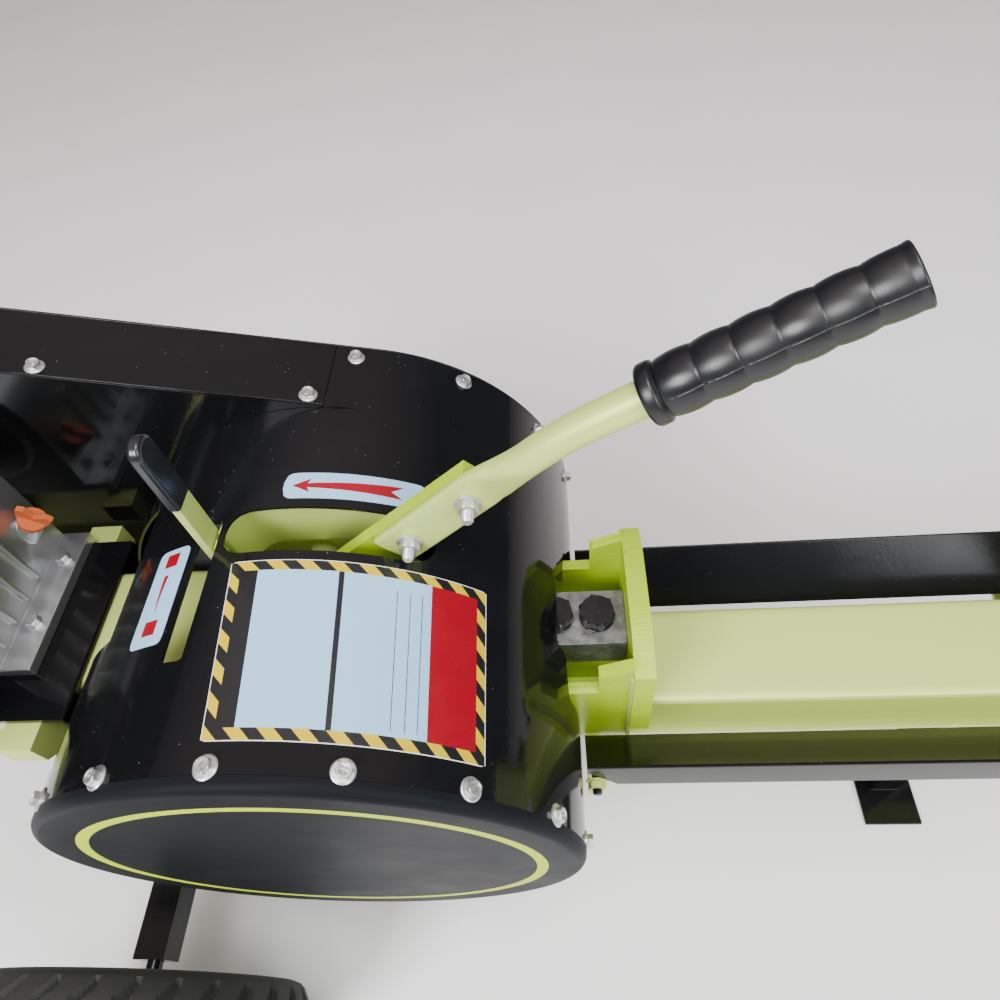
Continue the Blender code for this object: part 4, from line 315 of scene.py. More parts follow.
def carve(obj, cuts=(), welds=()):
    """Cuts and welds closed shells, and keeps only the result's mesh."""
    tools = []
    for operation, shells in (("UNION", welds), ("DIFFERENCE", cuts)):
        for shell in shells:
            tool = from_shell("tool", shell)
            mod = obj.modifiers.new(operation, "BOOLEAN")
            mod.operation, mod.solver, mod.object = operation, "EXACT", tool
            tools.append(tool)
    bpy.context.view_layer.update()
    mesh = bpy.data.meshes.new_from_object(obj.evaluated_get(bpy.context.evaluated_depsgraph_get()))
    obj.modifiers.clear()
    old, obj.data = obj.data, mesh
    bpy.data.meshes.remove(old)
    for tool in tools:
        data = tool.data
        bpy.data.objects.remove(tool)
        bpy.data.meshes.remove(data)


def finished(obj, finish, body, replaces, bevel, segments, sharp):
    """Shading, rounded edges, material and place in the machine of a finished mesh."""
    if not obj.data.polygons:
        raise RuntimeError(f"{obj.name} has no faces")
    obj.data.shade_smooth()
    obj.data.set_sharp_from_angle(angle=math.radians(sharp))
    if bevel:
        mod = obj.modifiers.new("rounded edges", "BEVEL")
        mod.width, mod.segments, mod.limit_method = bevel, segments, "ANGLE"
        mod.angle_limit = math.radians(max(sharp, 30.0))
        mod.harden_normals = True
    obj.data.materials.clear()
    obj.data.materials.append(bpy.data.materials[finish])
    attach(obj, body)
    if replaces:
        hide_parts(*([replaces] if isinstance(replaces, str) else replaces))
    return obj


def piece(name, shells, finish, body="frame", replaces=(), bevel=0.0, segments=2, sharp=35.0,
          cuts=(), welds=()):
    """One new piece from shells, carved and finished."""
    obj = from_shell(name, joined(*shells) if isinstance(shells, list) else shells)
    if len(cuts) or len(welds):
        carve(obj, cuts, welds)
    return finished(obj, finish, body, replaces, bevel, segments, sharp)


def dressed(node, finish, bevel=0.0006, segments=2, sharp=38.0, name=None, level=0):
    """The CAD node's own shape, its triangles merged into whole faces, with rounded edges."""
    source = frame["nodes"][node]
    mesh = source.data.copy()
    bm = bmesh.new()
    bm.from_mesh(mesh)
    bmesh.ops.remove_doubles(bm, verts=bm.verts, dist=2e-6)
    bmesh.ops.dissolve_limit(bm, angle_limit=math.radians(1.0), verts=bm.verts, edges=bm.edges)
    bm.to_mesh(mesh)
    bm.free()
    obj = bpy.data.objects.new(name or f"{node}_dressed", mesh)
    bpy.context.scene.collection.objects.link(obj)
    if level:
        mod = obj.modifiers.new("smooth form", "SUBSURF")
        mod.levels = mod.render_levels = level
    return finished(obj, finish, source["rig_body"], node, bevel, segments, sharp)


def repaint(node, finish):
    """A better material on a CAD node that keeps its own shape."""
    mesh = frame["nodes"][node].data
    mesh.materials.clear()
    mesh.materials.append(bpy.data.materials[finish])


# ---------------------------------------------------------------- sizes and colours
class LogSplitterSizes(bpy.types.PropertyGroup):
    drum_radius: FloatProperty(name="Drum radius", description="Outside of the flywheel drum",
                               default=0.240, min=0.15, max=0.4, unit="LENGTH")
    drum_steps: IntProperty(name="Drum steps", description="Facets round the drum",
                            default=180, min=48, max=360)
    grip_radius: FloatProperty(name="Grip radius", description="Rubber grip of the main handle",
                               default=0.0205, min=0.012, max=0.03, unit="LENGTH")
    grip_bulges: IntProperty(name="Grip bulges", description="Finger bulges of the grip",
                             default=6, min=3, max=9)
    tube_radius: FloatProperty(name="Handle tube radius", description="Round stretch of the handle tube",
                               default=0.0125, min=0.008, max=0.02, unit="LENGTH")
    spring_curls: IntProperty(name="Spring curls", description="Turns of the return spring",
                              default=112, min=16, max=160)
    tyre_blocks: IntProperty(name="Tread blocks", description="Blocks round each tyre",
                             default=30, min=12, max=60)
    stripe_pitch: FloatProperty(name="Stripe pitch", description="Pitch of the hazard stripes on the panel",
                                default=0.0246, min=0.008, max=0.05, unit="LENGTH")


def colour(name, text, value):
    return FloatVectorProperty(name=name, description=text, default=value, size=3, min=0.0, max=1.0,
                               subtype="COLOR")


class LogSplitterColours(bpy.types.PropertyGroup):
    lime: colour("Lime paint", "Powder coat of the frame, pusher and handle", (0.42, 0.60, 0.012))
    black: colour("Gloss black", "Powder coat of the drum and the cradles", (0.0050, 0.0052, 0.0060))
    slate: colour("Slate paint", "Paint of the near cover", (0.0075, 0.0085, 0.011))
    zinc: colour("Zinc", "Plated bolts and clamp block", (0.25, 0.29, 0.32))
    oxide: colour("Black oxide", "Clamp bolts", (0.020, 0.021, 0.024))
    aluminium: colour("Cast aluminium", "Crankcase and cylinder", (0.045, 0.055, 0.050))
    rubber: colour("Rubber", "Grip, pads and belt", (0.0035, 0.0038, 0.0050))
    tyre: colour("Tyre", "Tyres", (0.018, 0.018, 0.019))
    orange: colour("Orange plastic", "Dipstick and switch", (0.52, 0.060, 0.008))
    plastic: colour("Black plastic", "Engine covers and knobs", (0.016, 0.016, 0.018))
    iron: colour("Cast iron", "Flywheels, bearings and pulleys", (0.10, 0.10, 0.105))
    steel: colour("Machined steel", "Shaft, rack and silencer", (0.46, 0.46, 0.47))
    label: colour("Label", "Ground of the stickers", (0.31, 0.56, 0.80))
    hazard: colour("Hazard yellow", "Stripes of the panel", (0.60, 0.44, 0.0))
    signal: colour("Signal red", "Red field and arrow", (0.28, 0.0, 0.010))


def sizes():
    return bpy.context.scene.log_splitter_sizes


def tints():
    return bpy.context.scene.log_splitter_colours


# ---------------------------------------------------------------- materials
class Finish:
    """A node material: each method adds one node and gives back the output that the next one reads."""

    def __init__(self, name, colour, roughness, metallic=0.0, **constants):
        self.material = bpy.data.materials.new(name)
        self.material.use_nodes = True
        self.tree = self.material.node_tree
        self.shader = self.tree.nodes["Principled BSDF"]
        self.put("Base Color", colour)
        self.put("Roughness", roughness)
        self.put("Metallic", metallic)
        for key, value in constants.items():
            self.put(key.replace("_", " "), value)
        self.spot = self.node("ShaderNodeTexCoord", "Object")

    def feed(self, socket, value):
        if isinstance(value, bpy.types.NodeSocket):
            self.tree.links.new(value, socket)
        elif hasattr(value, "__len__") and len(value) == 3 and socket.type == "RGBA":
            socket.default_value = (*value, 1.0)
        else:
            socket.default_value = value

    def put(self, key, value):
        self.feed(self.shader.inputs[key], value)

    def node(self, kind, out=0, inputs=None, **settings):
        node = self.tree.nodes.new(kind)
        for key, value in settings.items():
            setattr(node, key, value)
        for key, value in (inputs or {}).items():
            self.feed(node.inputs[key], value)
        return node.outputs[out]

    def math(self, operation, a, b=0.0, c=0.0):
        return self.node("ShaderNodeMath", 0, {0: a, 1: b, 2: c}, operation=operation)

    def noise(self, scale, detail=2.0, roughness=0.5, vector=None, distortion=0.0):
        return self.node("ShaderNodeTexNoise", "Fac", {
            "Vector": vector or self.spot, "Scale": scale, "Detail": detail, "Roughness": roughness,
            "Distortion": distortion})

    def stretched(self, scale):
        """Object coordinates scaled by a factor along each axis."""
        return self.node("ShaderNodeMapping", 0, {"Vector": self.spot, "Scale": scale})

    def remap(self, value, low, high, to_low=0.0, to_high=1.0):
        return self.node("ShaderNodeMapRange", 0, {0: value, 1: low, 2: high, 3: to_low, 4: to_high})

    def mix(self, share, one, two):
        mixer = self.tree.nodes.new("ShaderNodeMix")
        mixer.data_type = "RGBA"
        for socket, value in ((mixer.inputs["Factor"], share), (mixer.inputs[6], one),
                              (mixer.inputs[7], two)):
            self.feed(socket, value)
        return mixer.outputs[2]

    def axes(self):
        split = self.tree.nodes.new("ShaderNodeSeparateXYZ")
        self.feed(split.inputs[0], self.spot)
        return split.outputs

    def bump(self, height, strength, distance, normal=None):
        inputs = {"Height": height, "Strength": strength, "Distance": distance}
        if normal:
            inputs["Normal"] = normal
        return self.node("ShaderNodeBump", 0, inputs)

    def specks(self, scale, size, share):
        """Small round dots: near the centres of a Voronoi pattern, kept where a wide noise allows."""
        near = self.node("ShaderNodeTexVoronoi", "Distance", {"Vector": self.spot, "Scale": scale})
        dots = self.math("LESS_THAN", near, size)
        where = self.math("GREATER_THAN", self.noise(scale * 0.31, 1.0), share)
        return self.math("MULTIPLY", dots, where)

    def between(self, value, low, high):
        above, below = self.math("GREATER_THAN", value, low), self.math("LESS_THAN", value, high)
        return self.math("MULTIPLY", above, below)

    def angle_and_radius(self):
        """Angle in radians and distance round the drum's axis."""
        x, _, z = self.axes()
        x = self.math("SUBTRACT", x, float(ORIGIN[0]))
        z = self.math("SUBTRACT", z, float(ORIGIN[2]))
        square = self.math("ADD", self.math("MULTIPLY", x, x), self.math("MULTIPLY", z, z))
        return self.math("ARCTAN2", z, x), self.math("SQRT", square)


def shaded(colour, share):
    """The colour times a share: darker below 1, lighter above."""
    return tuple(c * share for c in colour)


def make_lime(name, cut_axis=None):
    """Satin powder coat: soft mottling, orange peel, a few dark specks; flame-cut edges get ripples."""
    base = tuple(tints().lime)
    f = Finish(name, base, 0.36, 0.0, Specular_IOR_Level=0.45)
    mottle = f.remap(f.noise(7.0, 4.0, 0.6), 0.35, 0.70)
    paint = f.mix(mottle, shaded(base, 0.90), base)
    dirt = f.math("MULTIPLY", f.remap(f.noise(38.0, 3.0, 0.65), 0.60, 0.78), 0.35)
    paint = f.mix(dirt, paint, shaded(base, 0.72))
    paint = f.mix(f.specks(95.0, 0.075, 0.60), paint, (0.05, 0.06, 0.02))
    f.put("Base Color", paint)
    f.put("Roughness", f.remap(f.noise(24.0, 3.0), 0.3, 0.7, 0.30, 0.46))
    normal = f.bump(f.noise(420.0, 2.0), 0.10, 0.0006)
    normal = f.bump(f.noise(60.0, 3.0), 0.10, 0.0012, normal)
    if cut_axis is not None:
        scale = [330.0] * 3
        scale[cut_axis] = 40.0
        ripples = f.noise(1.0, 2.0, 0.6, f.stretched(scale))
        ripples = f.math("MULTIPLY", ripples, f.remap(f.noise(30.0, 2.0), 0.40, 0.62, 0.15, 1.0))
        facing = f.tree.nodes.new("ShaderNodeSeparateXYZ")
        f.feed(facing.inputs[0], f.node("ShaderNodeTexCoord", "Normal"))
        edge = f.math("LESS_THAN", f.math("ABSOLUTE", facing.outputs[cut_axis]), 0.5)
        normal = f.bump(f.math("MULTIPLY", ripples, edge), 0.5, 0.0012, normal)
    f.put("Normal", normal)
    return f


def make_gloss_black(name, rough=0.075, mirror=0.24, depth=0.0009):
    """Gloss powder coat: deep black, orange peel in the reflections, dust specks and faint smears."""
    base = tuple(tints().black)
    f = Finish(name, base, 0.09, 0.0, Specular_IOR_Level=mirror)
    haze = f.remap(f.noise(9.0, 5.0, 0.62), 0.48, 0.80)
    f.put("Roughness", f.math("ADD", rough, f.math("MULTIPLY", haze, 0.10)))
    dust = f.math("MAXIMUM", f.specks(150.0, 0.055, 0.55), f.specks(64.0, 0.028, 0.50))
    f.put("Base Color", f.mix(dust, f.mix(haze, base, shaded(base, 1.6)), (0.20, 0.20, 0.19)))
    peel = f.bump(f.noise(330.0, 2.0, 0.5), 0.055, depth)
    f.put("Normal", f.bump(f.noise(34.0, 2.0), 0.03, 0.002, peel))
    return f


def make_slate(name):
    """Satin slate paint of the near cover, with a plain lime ring printed round it."""
    base = tuple(tints().slate)
    f = Finish(name, base, 0.46, 0.0, Specular_IOR_Level=0.04)
    _, radius = f.angle_and_radius()
    wave = f.math("MULTIPLY", f.math("SUBTRACT", f.noise(26.0, 2.0), 0.5), 0.0006)
    ring = f.between(f.math("ADD", radius, wave), 0.1955, 0.2055)
    cloud = f.remap(f.noise(6.0, 4.0), 0.35, 0.70)
    paint = f.mix(cloud, base, shaded(base, 1.35))
    paint = f.mix(f.specks(120.0, 0.05, 0.62), paint, (0.16, 0.17, 0.17))
    _, y, _ = f.axes()
    flat = f.math("LESS_THAN", y, COVER_Y + 0.001)
    f.put("Base Color", f.mix(f.math("MULTIPLY", ring, flat), paint, (0.50, 0.62, 0.02)))
    f.put("Roughness", f.remap(f.noise(13.0, 3.0), 0.3, 0.7, 0.42, 0.52))
    f.put("Normal", f.bump(f.noise(300.0, 2.0), 0.05, 0.0008))
    return f


def make_metal(name, base, rough, grain=900.0, depth=0.00015, tint=None, metallic=1.0, blotch=0.25):
    """Bare or plated metal: patches of two tones, uneven gloss and a fine surface grain."""
    f = Finish(name, base, rough, metallic)
    patch = f.remap(f.noise(60.0, 4.0, 0.65), 0.35, 0.68)
    f.put("Base Color", f.mix(patch, tint or shaded(base, 0.72), base))
    f.put("Roughness", f.remap(f.noise(130.0, 3.0), 0.3, 0.7, rough * (1 - blotch), rough * (1 + blotch * 2)))
    f.put("Normal", f.bump(f.noise(grain, 2.0), 0.35, depth))
    return f


def make_moulded(name, base, rough, grain=700.0, depth=0.0002, light=1.5):
    """Moulded rubber or plastic: fine grain, slightly uneven tone and dull wear patches."""
    f = Finish(name, base, rough, 0.0, Specular_IOR_Level=0.5)
    worn = f.remap(f.noise(31.0, 4.0, 0.6), 0.50, 0.75)
    f.put("Base Color", f.mix(worn, base, shaded(base, light)))
    f.put("Roughness", f.remap(f.noise(45.0, 3.0), 0.3, 0.7, rough * 0.85, rough * 1.2))
    f.put("Normal", f.bump(f.noise(grain, 3.0), 0.25, depth))
    return f


def sticker_gloss(f, low, high):
    """Uneven gloss between two roughnesses, and the faint waves of a film stuck on sheet metal."""
    f.put("Roughness", f.remap(f.noise(40.0, 3.0), 0.3, 0.7, low, high))
    f.put("Normal", f.bump(f.noise(160.0, 2.0), 0.05, 0.0006))


def make_striped_panel(name):
    """Blank machine panel: a border of slanting yellow and black stripes round pale fields, with a
    black divider and a red field."""
    f = Finish(name, tuple(tints().label), 0.28, 0.0, Specular_IOR_Level=0.5)
    angle, _ = f.angle_and_radius()
    _, y, _ = f.axes()
    radius = sizes().drum_radius
    length, width = math.radians(PANEL_ANGLES[0] - PANEL_ANGLES[1]) * radius, PANEL_Y[1] - PANEL_Y[0]
    t = f.math("SUBTRACT", y, PANEL_Y[0])
    left, right = (f.math("ADD", math.radians(near), f.math("MULTIPLY", t, math.radians(far - near) / width))
                   for far, near in zip(PANEL_ANGLES, PANEL_NEAR))
    s = f.math("DIVIDE", f.math("SUBTRACT", left, angle), f.math("SUBTRACT", left, right))
    s = f.math("MULTIPLY", s, length)
    black, pale, white = (0.010, 0.010, 0.012), tuple(tints().label), (0.75, 0.75, 0.72)
    share = f.math("FRACT", f.math("DIVIDE", f.math("ADD", s, t), sizes().stripe_pitch))
    stripes = f.mix(f.math("LESS_THAN", share, 0.50), black, tuple(tints().hazard))
    border, rim = 0.0092, 0.0007
    stripes = f.mix(f.math("MULTIPLY", f.between(s, rim, length - rim), f.between(t, rim, width - rim)),
                    white, stripes)
    inside = f.math("MULTIPLY", f.between(s, border, length - border), f.between(t, border, width - border))
    fields = f.mix(f.math("GREATER_THAN", s, length * 0.112), black, pale)
    fields = f.mix(f.between(s, length * 0.412, length * 0.432), fields, black)
    for share in (0.628, 0.678, 0.724):
        rule = f.math("MULTIPLY", f.between(s, length * share, length * share + 0.0006),
                      f.between(t, width * 0.09, width * 0.86))
        fields = f.mix(rule, fields, black)
    fields = f.mix(f.math("GREATER_THAN", s, length * 0.762), fields, tuple(tints().signal))
    f.put("Base Color", f.mix(inside, stripes, fields))
    sticker_gloss(f, 0.20, 0.34)
    return f


def make_arrow_sticker(name):
    """Pale sticker with a plain red swallow-tailed arrow along the drum."""
    f = Finish(name, tuple(tints().label), 0.28, 0.0, Specular_IOR_Level=0.5)
    angle, _ = f.angle_and_radius()
    _, y, _ = f.axes()
    radius = sizes().drum_radius
    s = f.math("MULTIPLY", f.math("SUBTRACT", math.radians(ARROW_ANGLES[0]), angle), radius)
    t = f.math("ABSOLUTE", f.math("SUBTRACT", y, (ARROW_Y[0] + ARROW_Y[1]) / 2))
    head = f.math("LESS_THAN", t, f.math("MULTIPLY", f.math("SUBTRACT", s, 0.0075), 0.46))
    back = f.math("ADD", 0.0195, f.math("MULTIPLY", t, 0.55))
    head = f.math("MULTIPLY", head, f.math("LESS_THAN", s, back))
    half = f.math("ADD", 0.0012, f.math("MULTIPLY", s, 0.052))
    tail = f.math("SUBTRACT", 0.104, f.math("MULTIPLY", f.math("SUBTRACT", 0.0068, t), 1.7))
    shaft = f.math("MULTIPLY", f.math("LESS_THAN", t, half), f.math("GREATER_THAN", s, 0.017))
    shaft = f.math("MULTIPLY", shaft, f.math("LESS_THAN", s, tail))
    arrow = f.math("MAXIMUM", head, shaft)
    f.put("Base Color", f.mix(arrow, tuple(tints().label), tuple(tints().signal)))
    sticker_gloss(f, 0.20, 0.34)
    return f


def make_lever_sticker(name):
    """Pale sticker beside the lever slot: blank red squares at both ends and a tapered, bowed red line."""
    pale = tuple(tints().label)
    f = Finish(name, pale, 0.30, 0.0, Specular_IOR_Level=0.5)
    angle, _ = f.angle_and_radius()
    _, y, _ = f.axes()
    radius = sizes().drum_radius
    middle = math.radians(sum(LEVER_LABEL_ANGLES) / 2)
    run = f.math("MULTIPLY", f.math("SUBTRACT", angle, middle), radius)
    s = f.math("ABSOLUTE", run)
    end = f.math("MAXIMUM", f.between(y, LEVER_LABEL_Y[0] + 0.010, LEVER_LABEL_Y[0] + 0.023),
                 f.between(y, LEVER_LABEL_Y[1] - 0.018, LEVER_LABEL_Y[1] - 0.005))
    square = f.math("MULTIPLY", end, f.math("LESS_THAN", s, 0.0072))
    along = f.math("SUBTRACT", y, LEVER_LABEL_Y[0] + 0.030)
    bow = f.math("MULTIPLY", f.math("SINE", f.math("MULTIPLY", along, 80.0)), 0.0016)
    half = f.math("ADD", 0.0003, f.math("MULTIPLY", along, 0.062))
    line = f.math("LESS_THAN", f.math("ABSOLUTE", f.math("SUBTRACT", run, bow)), half)
    line = f.math("MULTIPLY", line, f.between(y, LEVER_LABEL_Y[0] + 0.030, LEVER_LABEL_Y[1] - 0.026))
    f.put("Base Color", f.mix(f.math("MAXIMUM", square, line), pale, tuple(tints().signal)))
    f.put("Roughness", f.remap(f.noise(40.0, 3.0), 0.3, 0.7, 0.22, 0.36))
    f.put("Normal", f.bump(f.noise(160.0, 2.0), 0.05, 0.0006))
    return f


PANEL_ANGLES, PANEL_Y = (97.4, 46.1), (-0.172, -0.0285)
PANEL_NEAR = (93.9, 45.2)                 # the panel is stuck on a little crooked
ARROW_ANGLES, ARROW_Y = (90.6, 61.0), (0.0325, 0.0600)
LEVER_LABEL_ANGLES, LEVER_LABEL_Y = (117.4, 108.8), (-0.092, -0.001)


def make_materials():
    """Every finish of the machine, made once."""
    t = tints()
    make_lime("lime_paint")
    make_lime("lime_cut_plate", 0)
    make_lime("lime_cut_bar", 1)
    make_gloss_black("gloss_black_paint")
    make_gloss_black("cradle_black", 0.20, 0.22, 0.0016)
    make_slate("slate_paint")
    make_metal("zinc_plate", tuple(t.zinc), 0.20, 1100.0, 0.00010, (0.17, 0.20, 0.22))
    make_metal("worn_zinc", (0.36, 0.37, 0.37), 0.38, 420.0, 0.0004, (0.15, 0.16, 0.16), 0.85, 0.5)
    make_metal("dark_thread", (0.045, 0.05, 0.055), 0.30, 800.0, 0.0002, (0.02, 0.02, 0.025), 0.8)
    make_metal("black_oxide", tuple(t.oxide), 0.20, 500.0, 0.0004, (0.008, 0.008, 0.010), 0.4)
    make_metal("cast_aluminium", tuple(t.aluminium), 0.46, 900.0, 0.0005, (0.022, 0.028, 0.026), 0.35)
    make_metal("cast_iron", tuple(t.iron), 0.58, 500.0, 0.0006, (0.05, 0.05, 0.05), 0.6)
    make_metal("machined_steel", tuple(t.steel), 0.30, 1200.0, 0.00008)
    make_moulded("grip_rubber", tuple(t.rubber), 0.36, 800.0, 0.00012, 1.3)
    make_moulded("tyre_rubber", tuple(t.tyre), 0.72, 400.0, 0.0005, 1.6)
    make_moulded("black_plastic", tuple(t.plastic), 0.42, 700.0, 0.0003)
    make_moulded("dipped_plastic", (0.012, 0.013, 0.016), 0.20, 300.0, 0.0002, 1.2)
    make_moulded("orange_plastic", tuple(t.orange), 0.38, 600.0, 0.0002, 0.85)
    make_striped_panel("striped_panel")
    make_arrow_sticker("arrow_sticker")
    make_lever_sticker("lever_sticker")


# ---------------------------------------------------------------- shapes of the drum and the guard
def sheet_arc(radius, start, end, steps, thick=SHEET):
    """Outline of a curved sheet between two radii."""
    return np.vstack([arc(radius, start, end, steps), arc(radius - thick, end, start, steps)])


def guard_line(radius, small, start_run, steps):
    """The guard strip seen from the side: straight from the drum's tangent to the small circle,
    round it, and straight back to the drum."""
    first, second = math.radians(TANGENT), math.radians(TANGENT_LOW)
    begin = radius * np.array([math.cos(first), math.sin(first)])
    begin = begin + start_run * np.array([-math.sin(first), math.cos(first)])
    finish = radius * np.array([math.cos(second), math.sin(second)])
    return np.vstack([begin[None], arc(small, TANGENT, TANGENT_LOW, steps, TAIL), finish[None]])


def on_drum(degrees, y, rise=0.0):
    """A point on the drum at an angle, 'rise' above its sheet, and the outward direction there."""
    a = math.radians(degrees)
    out = np.array([math.cos(a), 0.0, math.sin(a)])
    return out * (sizes().drum_radius + rise) + (0.0, y, 0.0), out


def drum_patch(angles, span, corner, near=None, thick=0.0004):
    """A thin sticker bent to the drum: a rounded rectangle in arc length and y, its two faces at
    the radii of the sheet and just above it. Its left and right edges run straight from the angles
    of the far side to those of the near side."""
    near = near or angles
    radius = sizes().drum_radius
    length = math.radians(angles[0] - angles[1]) * radius
    flat = rounded([(0, span[0]), (length, span[0]), (length, span[1]), (0, span[1])], corner)
    across_rows = 60
    s = np.linspace(0, 1, across_rows)[:, None]
    low, high = flat[:, 0].min(), flat[:, 0].max()
    column = low + (high - low) * s
    reach = np.array([[np.interp(c, *edge) for c in column[:, 0]] for edge in label_sides(flat)])
    y = np.stack([reach[0], reach[1]], -1)
    depth = (y - span[0]) / (span[1] - span[0])
    left, right = (np.radians(near[k] + (angles[k] - near[k]) * depth) for k in (0, 1))
    a = left - (left - right) * column / length
    layers = [np.stack([(radius + up) * np.cos(a), y, (radius + up) * np.sin(a)], -1)
              for up in (0.0001, thick)]
    ring = np.stack([layers[0][:, 0], layers[0][:, 1], layers[1][:, 1], layers[1][:, 0]], 1)
    return skin(ring, caps=True)


def label_sides(flat):
    """The near and the far side of a flat label as functions of its length."""
    middle = (flat[:, 1].min() + flat[:, 1].max()) / 2
    sides = []
    for pick in (flat[:, 1] <= middle, flat[:, 1] >= middle):
        line = flat[pick]
        line = line[np.argsort(line[:, 0], kind="stable")]
        x, order = np.unique(line[:, 0], return_index=True)
        sides.append((x, line[order, 1]))
    return sides


# ---------------------------------------------------------------- operators
class LOGSPLITTER_OT_stage(bpy.types.Operator):
    """Pale floor, soft studio light and the camera"""
    bl_idname = "log_splitter.stage"
    bl_label = "Stage"

    def execute(self, context):
        scene = context.scene
        floor = from_shell("floor", plate([(-9, -9), (9, -9), (9, 9), (-9, 9)], "Z", -0.52, -0.5005))
        f = Finish("floor_paper", (0.90, 0.90, 0.90), 0.75)
        cloud = f.remap(f.noise(3.0, 2.0), 0.3, 0.7)
        f.put("Base Color", f.mix(cloud, (0.88, 0.88, 0.88), (0.91, 0.91, 0.91)))
        floor.data.materials.append(f.material)

        world = bpy.data.worlds.new("studio")
        scene.world = world
        world.use_nodes = True
        tree = world.node_tree
        background = tree.nodes["Background"]
        direction = tree.nodes.new("ShaderNodeTexCoord").outputs["Generated"]
        split = tree.nodes.new("ShaderNodeSeparateXYZ")
        tree.links.new(direction, split.inputs[0])
        ramp = tree.nodes.new("ShaderNodeValToRGB")
        ramp.color_ramp.elements[0].position = 0.52
        ramp.color_ramp.elements[0].color = (0.12, 0.14, 0.17, 1)
        ramp.color_ramp.elements[1].position = 0.80
        ramp.color_ramp.elements[1].color = (0.90, 0.74, 0.70, 1)
        tree.links.new(split.outputs[2], ramp.inputs[0])
        tree.links.new(ramp.outputs[0], background.inputs["Color"])
        background.inputs["Strength"].default_value = 1.0

        for name, spot, target, size, watts, tint in LIGHTS:
            light = bpy.data.lights.new(name, "AREA")
            light.energy, light.size, light.color = watts, size, tint
            lamp = bpy.data.objects.new(name, light)
            back = unit(np.subtract(spot, target))
            side = unit(np.cross((0, 0, 1), back))
            turn = np.eye(4)
            turn[:3, :3] = np.stack([side, np.cross(back, side), back], -1)
            turn[:3, 3] = spot
            lamp.matrix_world = Matrix(turn.tolist())
            scene.collection.objects.link(lamp)

        lens = bpy.data.cameras.new("camera")
        lens.lens, lens.sensor_width, lens.clip_start = LENS, SENSOR, 0.02
        camera = bpy.data.objects.new("camera", lens)
        turn = np.eye(4)
        turn[:3, :3] = np.stack([CAMERA_RIGHT, CAMERA_UP, CAMERA_BACK], -1)
        turn[:3, 3] = CAMERA_SPOT
        camera.matrix_world = Matrix(turn.tolist())
        scene.collection.objects.link(camera)
        scene.camera = camera
        return {"FINISHED"}


def slot_wall(radius):
    """The skirt under the handle slot, open on its near side: the far part of a rounded outline, with a
    thickness of 4.5 % towards its middle, drawn from a flat foot up to the inside of the sheet and
    bowed outwards at the foot."""
    rim = rounded([(-0.055, -0.030), (0.136, -0.030), (0.136, 0.036), (-0.055, 0.036)], 0.030, 14)
    rim = rim[(rim[:, 1] > -0.012) | (rim[:, 0] < -0.03)]
    rim = rim[rim[:, 1] > -0.0185]
    rim = rim[np.argsort(np.arctan2(rim[:, 1] - SLOT_MIDDLE[1], rim[:, 0] - SLOT_MIDDLE[0]))]
    wall = np.vstack([rim, (rim + (SLOT_MIDDLE - rim) * 0.045)[::-1]])
    top = np.sqrt((radius - SHEET) ** 2 - wall[:, 0] ** 2) - 0.0006
    share = np.linspace(0, 1, 8)[:, None]
    bow = 0.006 * (1 - share) ** 2 * np.sign(wall[:, 1] - SLOT_MIDDLE[1])
    return np.stack([wall[:, 0] + 0 * share, wall[:, 1] + bow, SKIRT_FOOT + (top - SKIRT_FOOT) * share], -1)


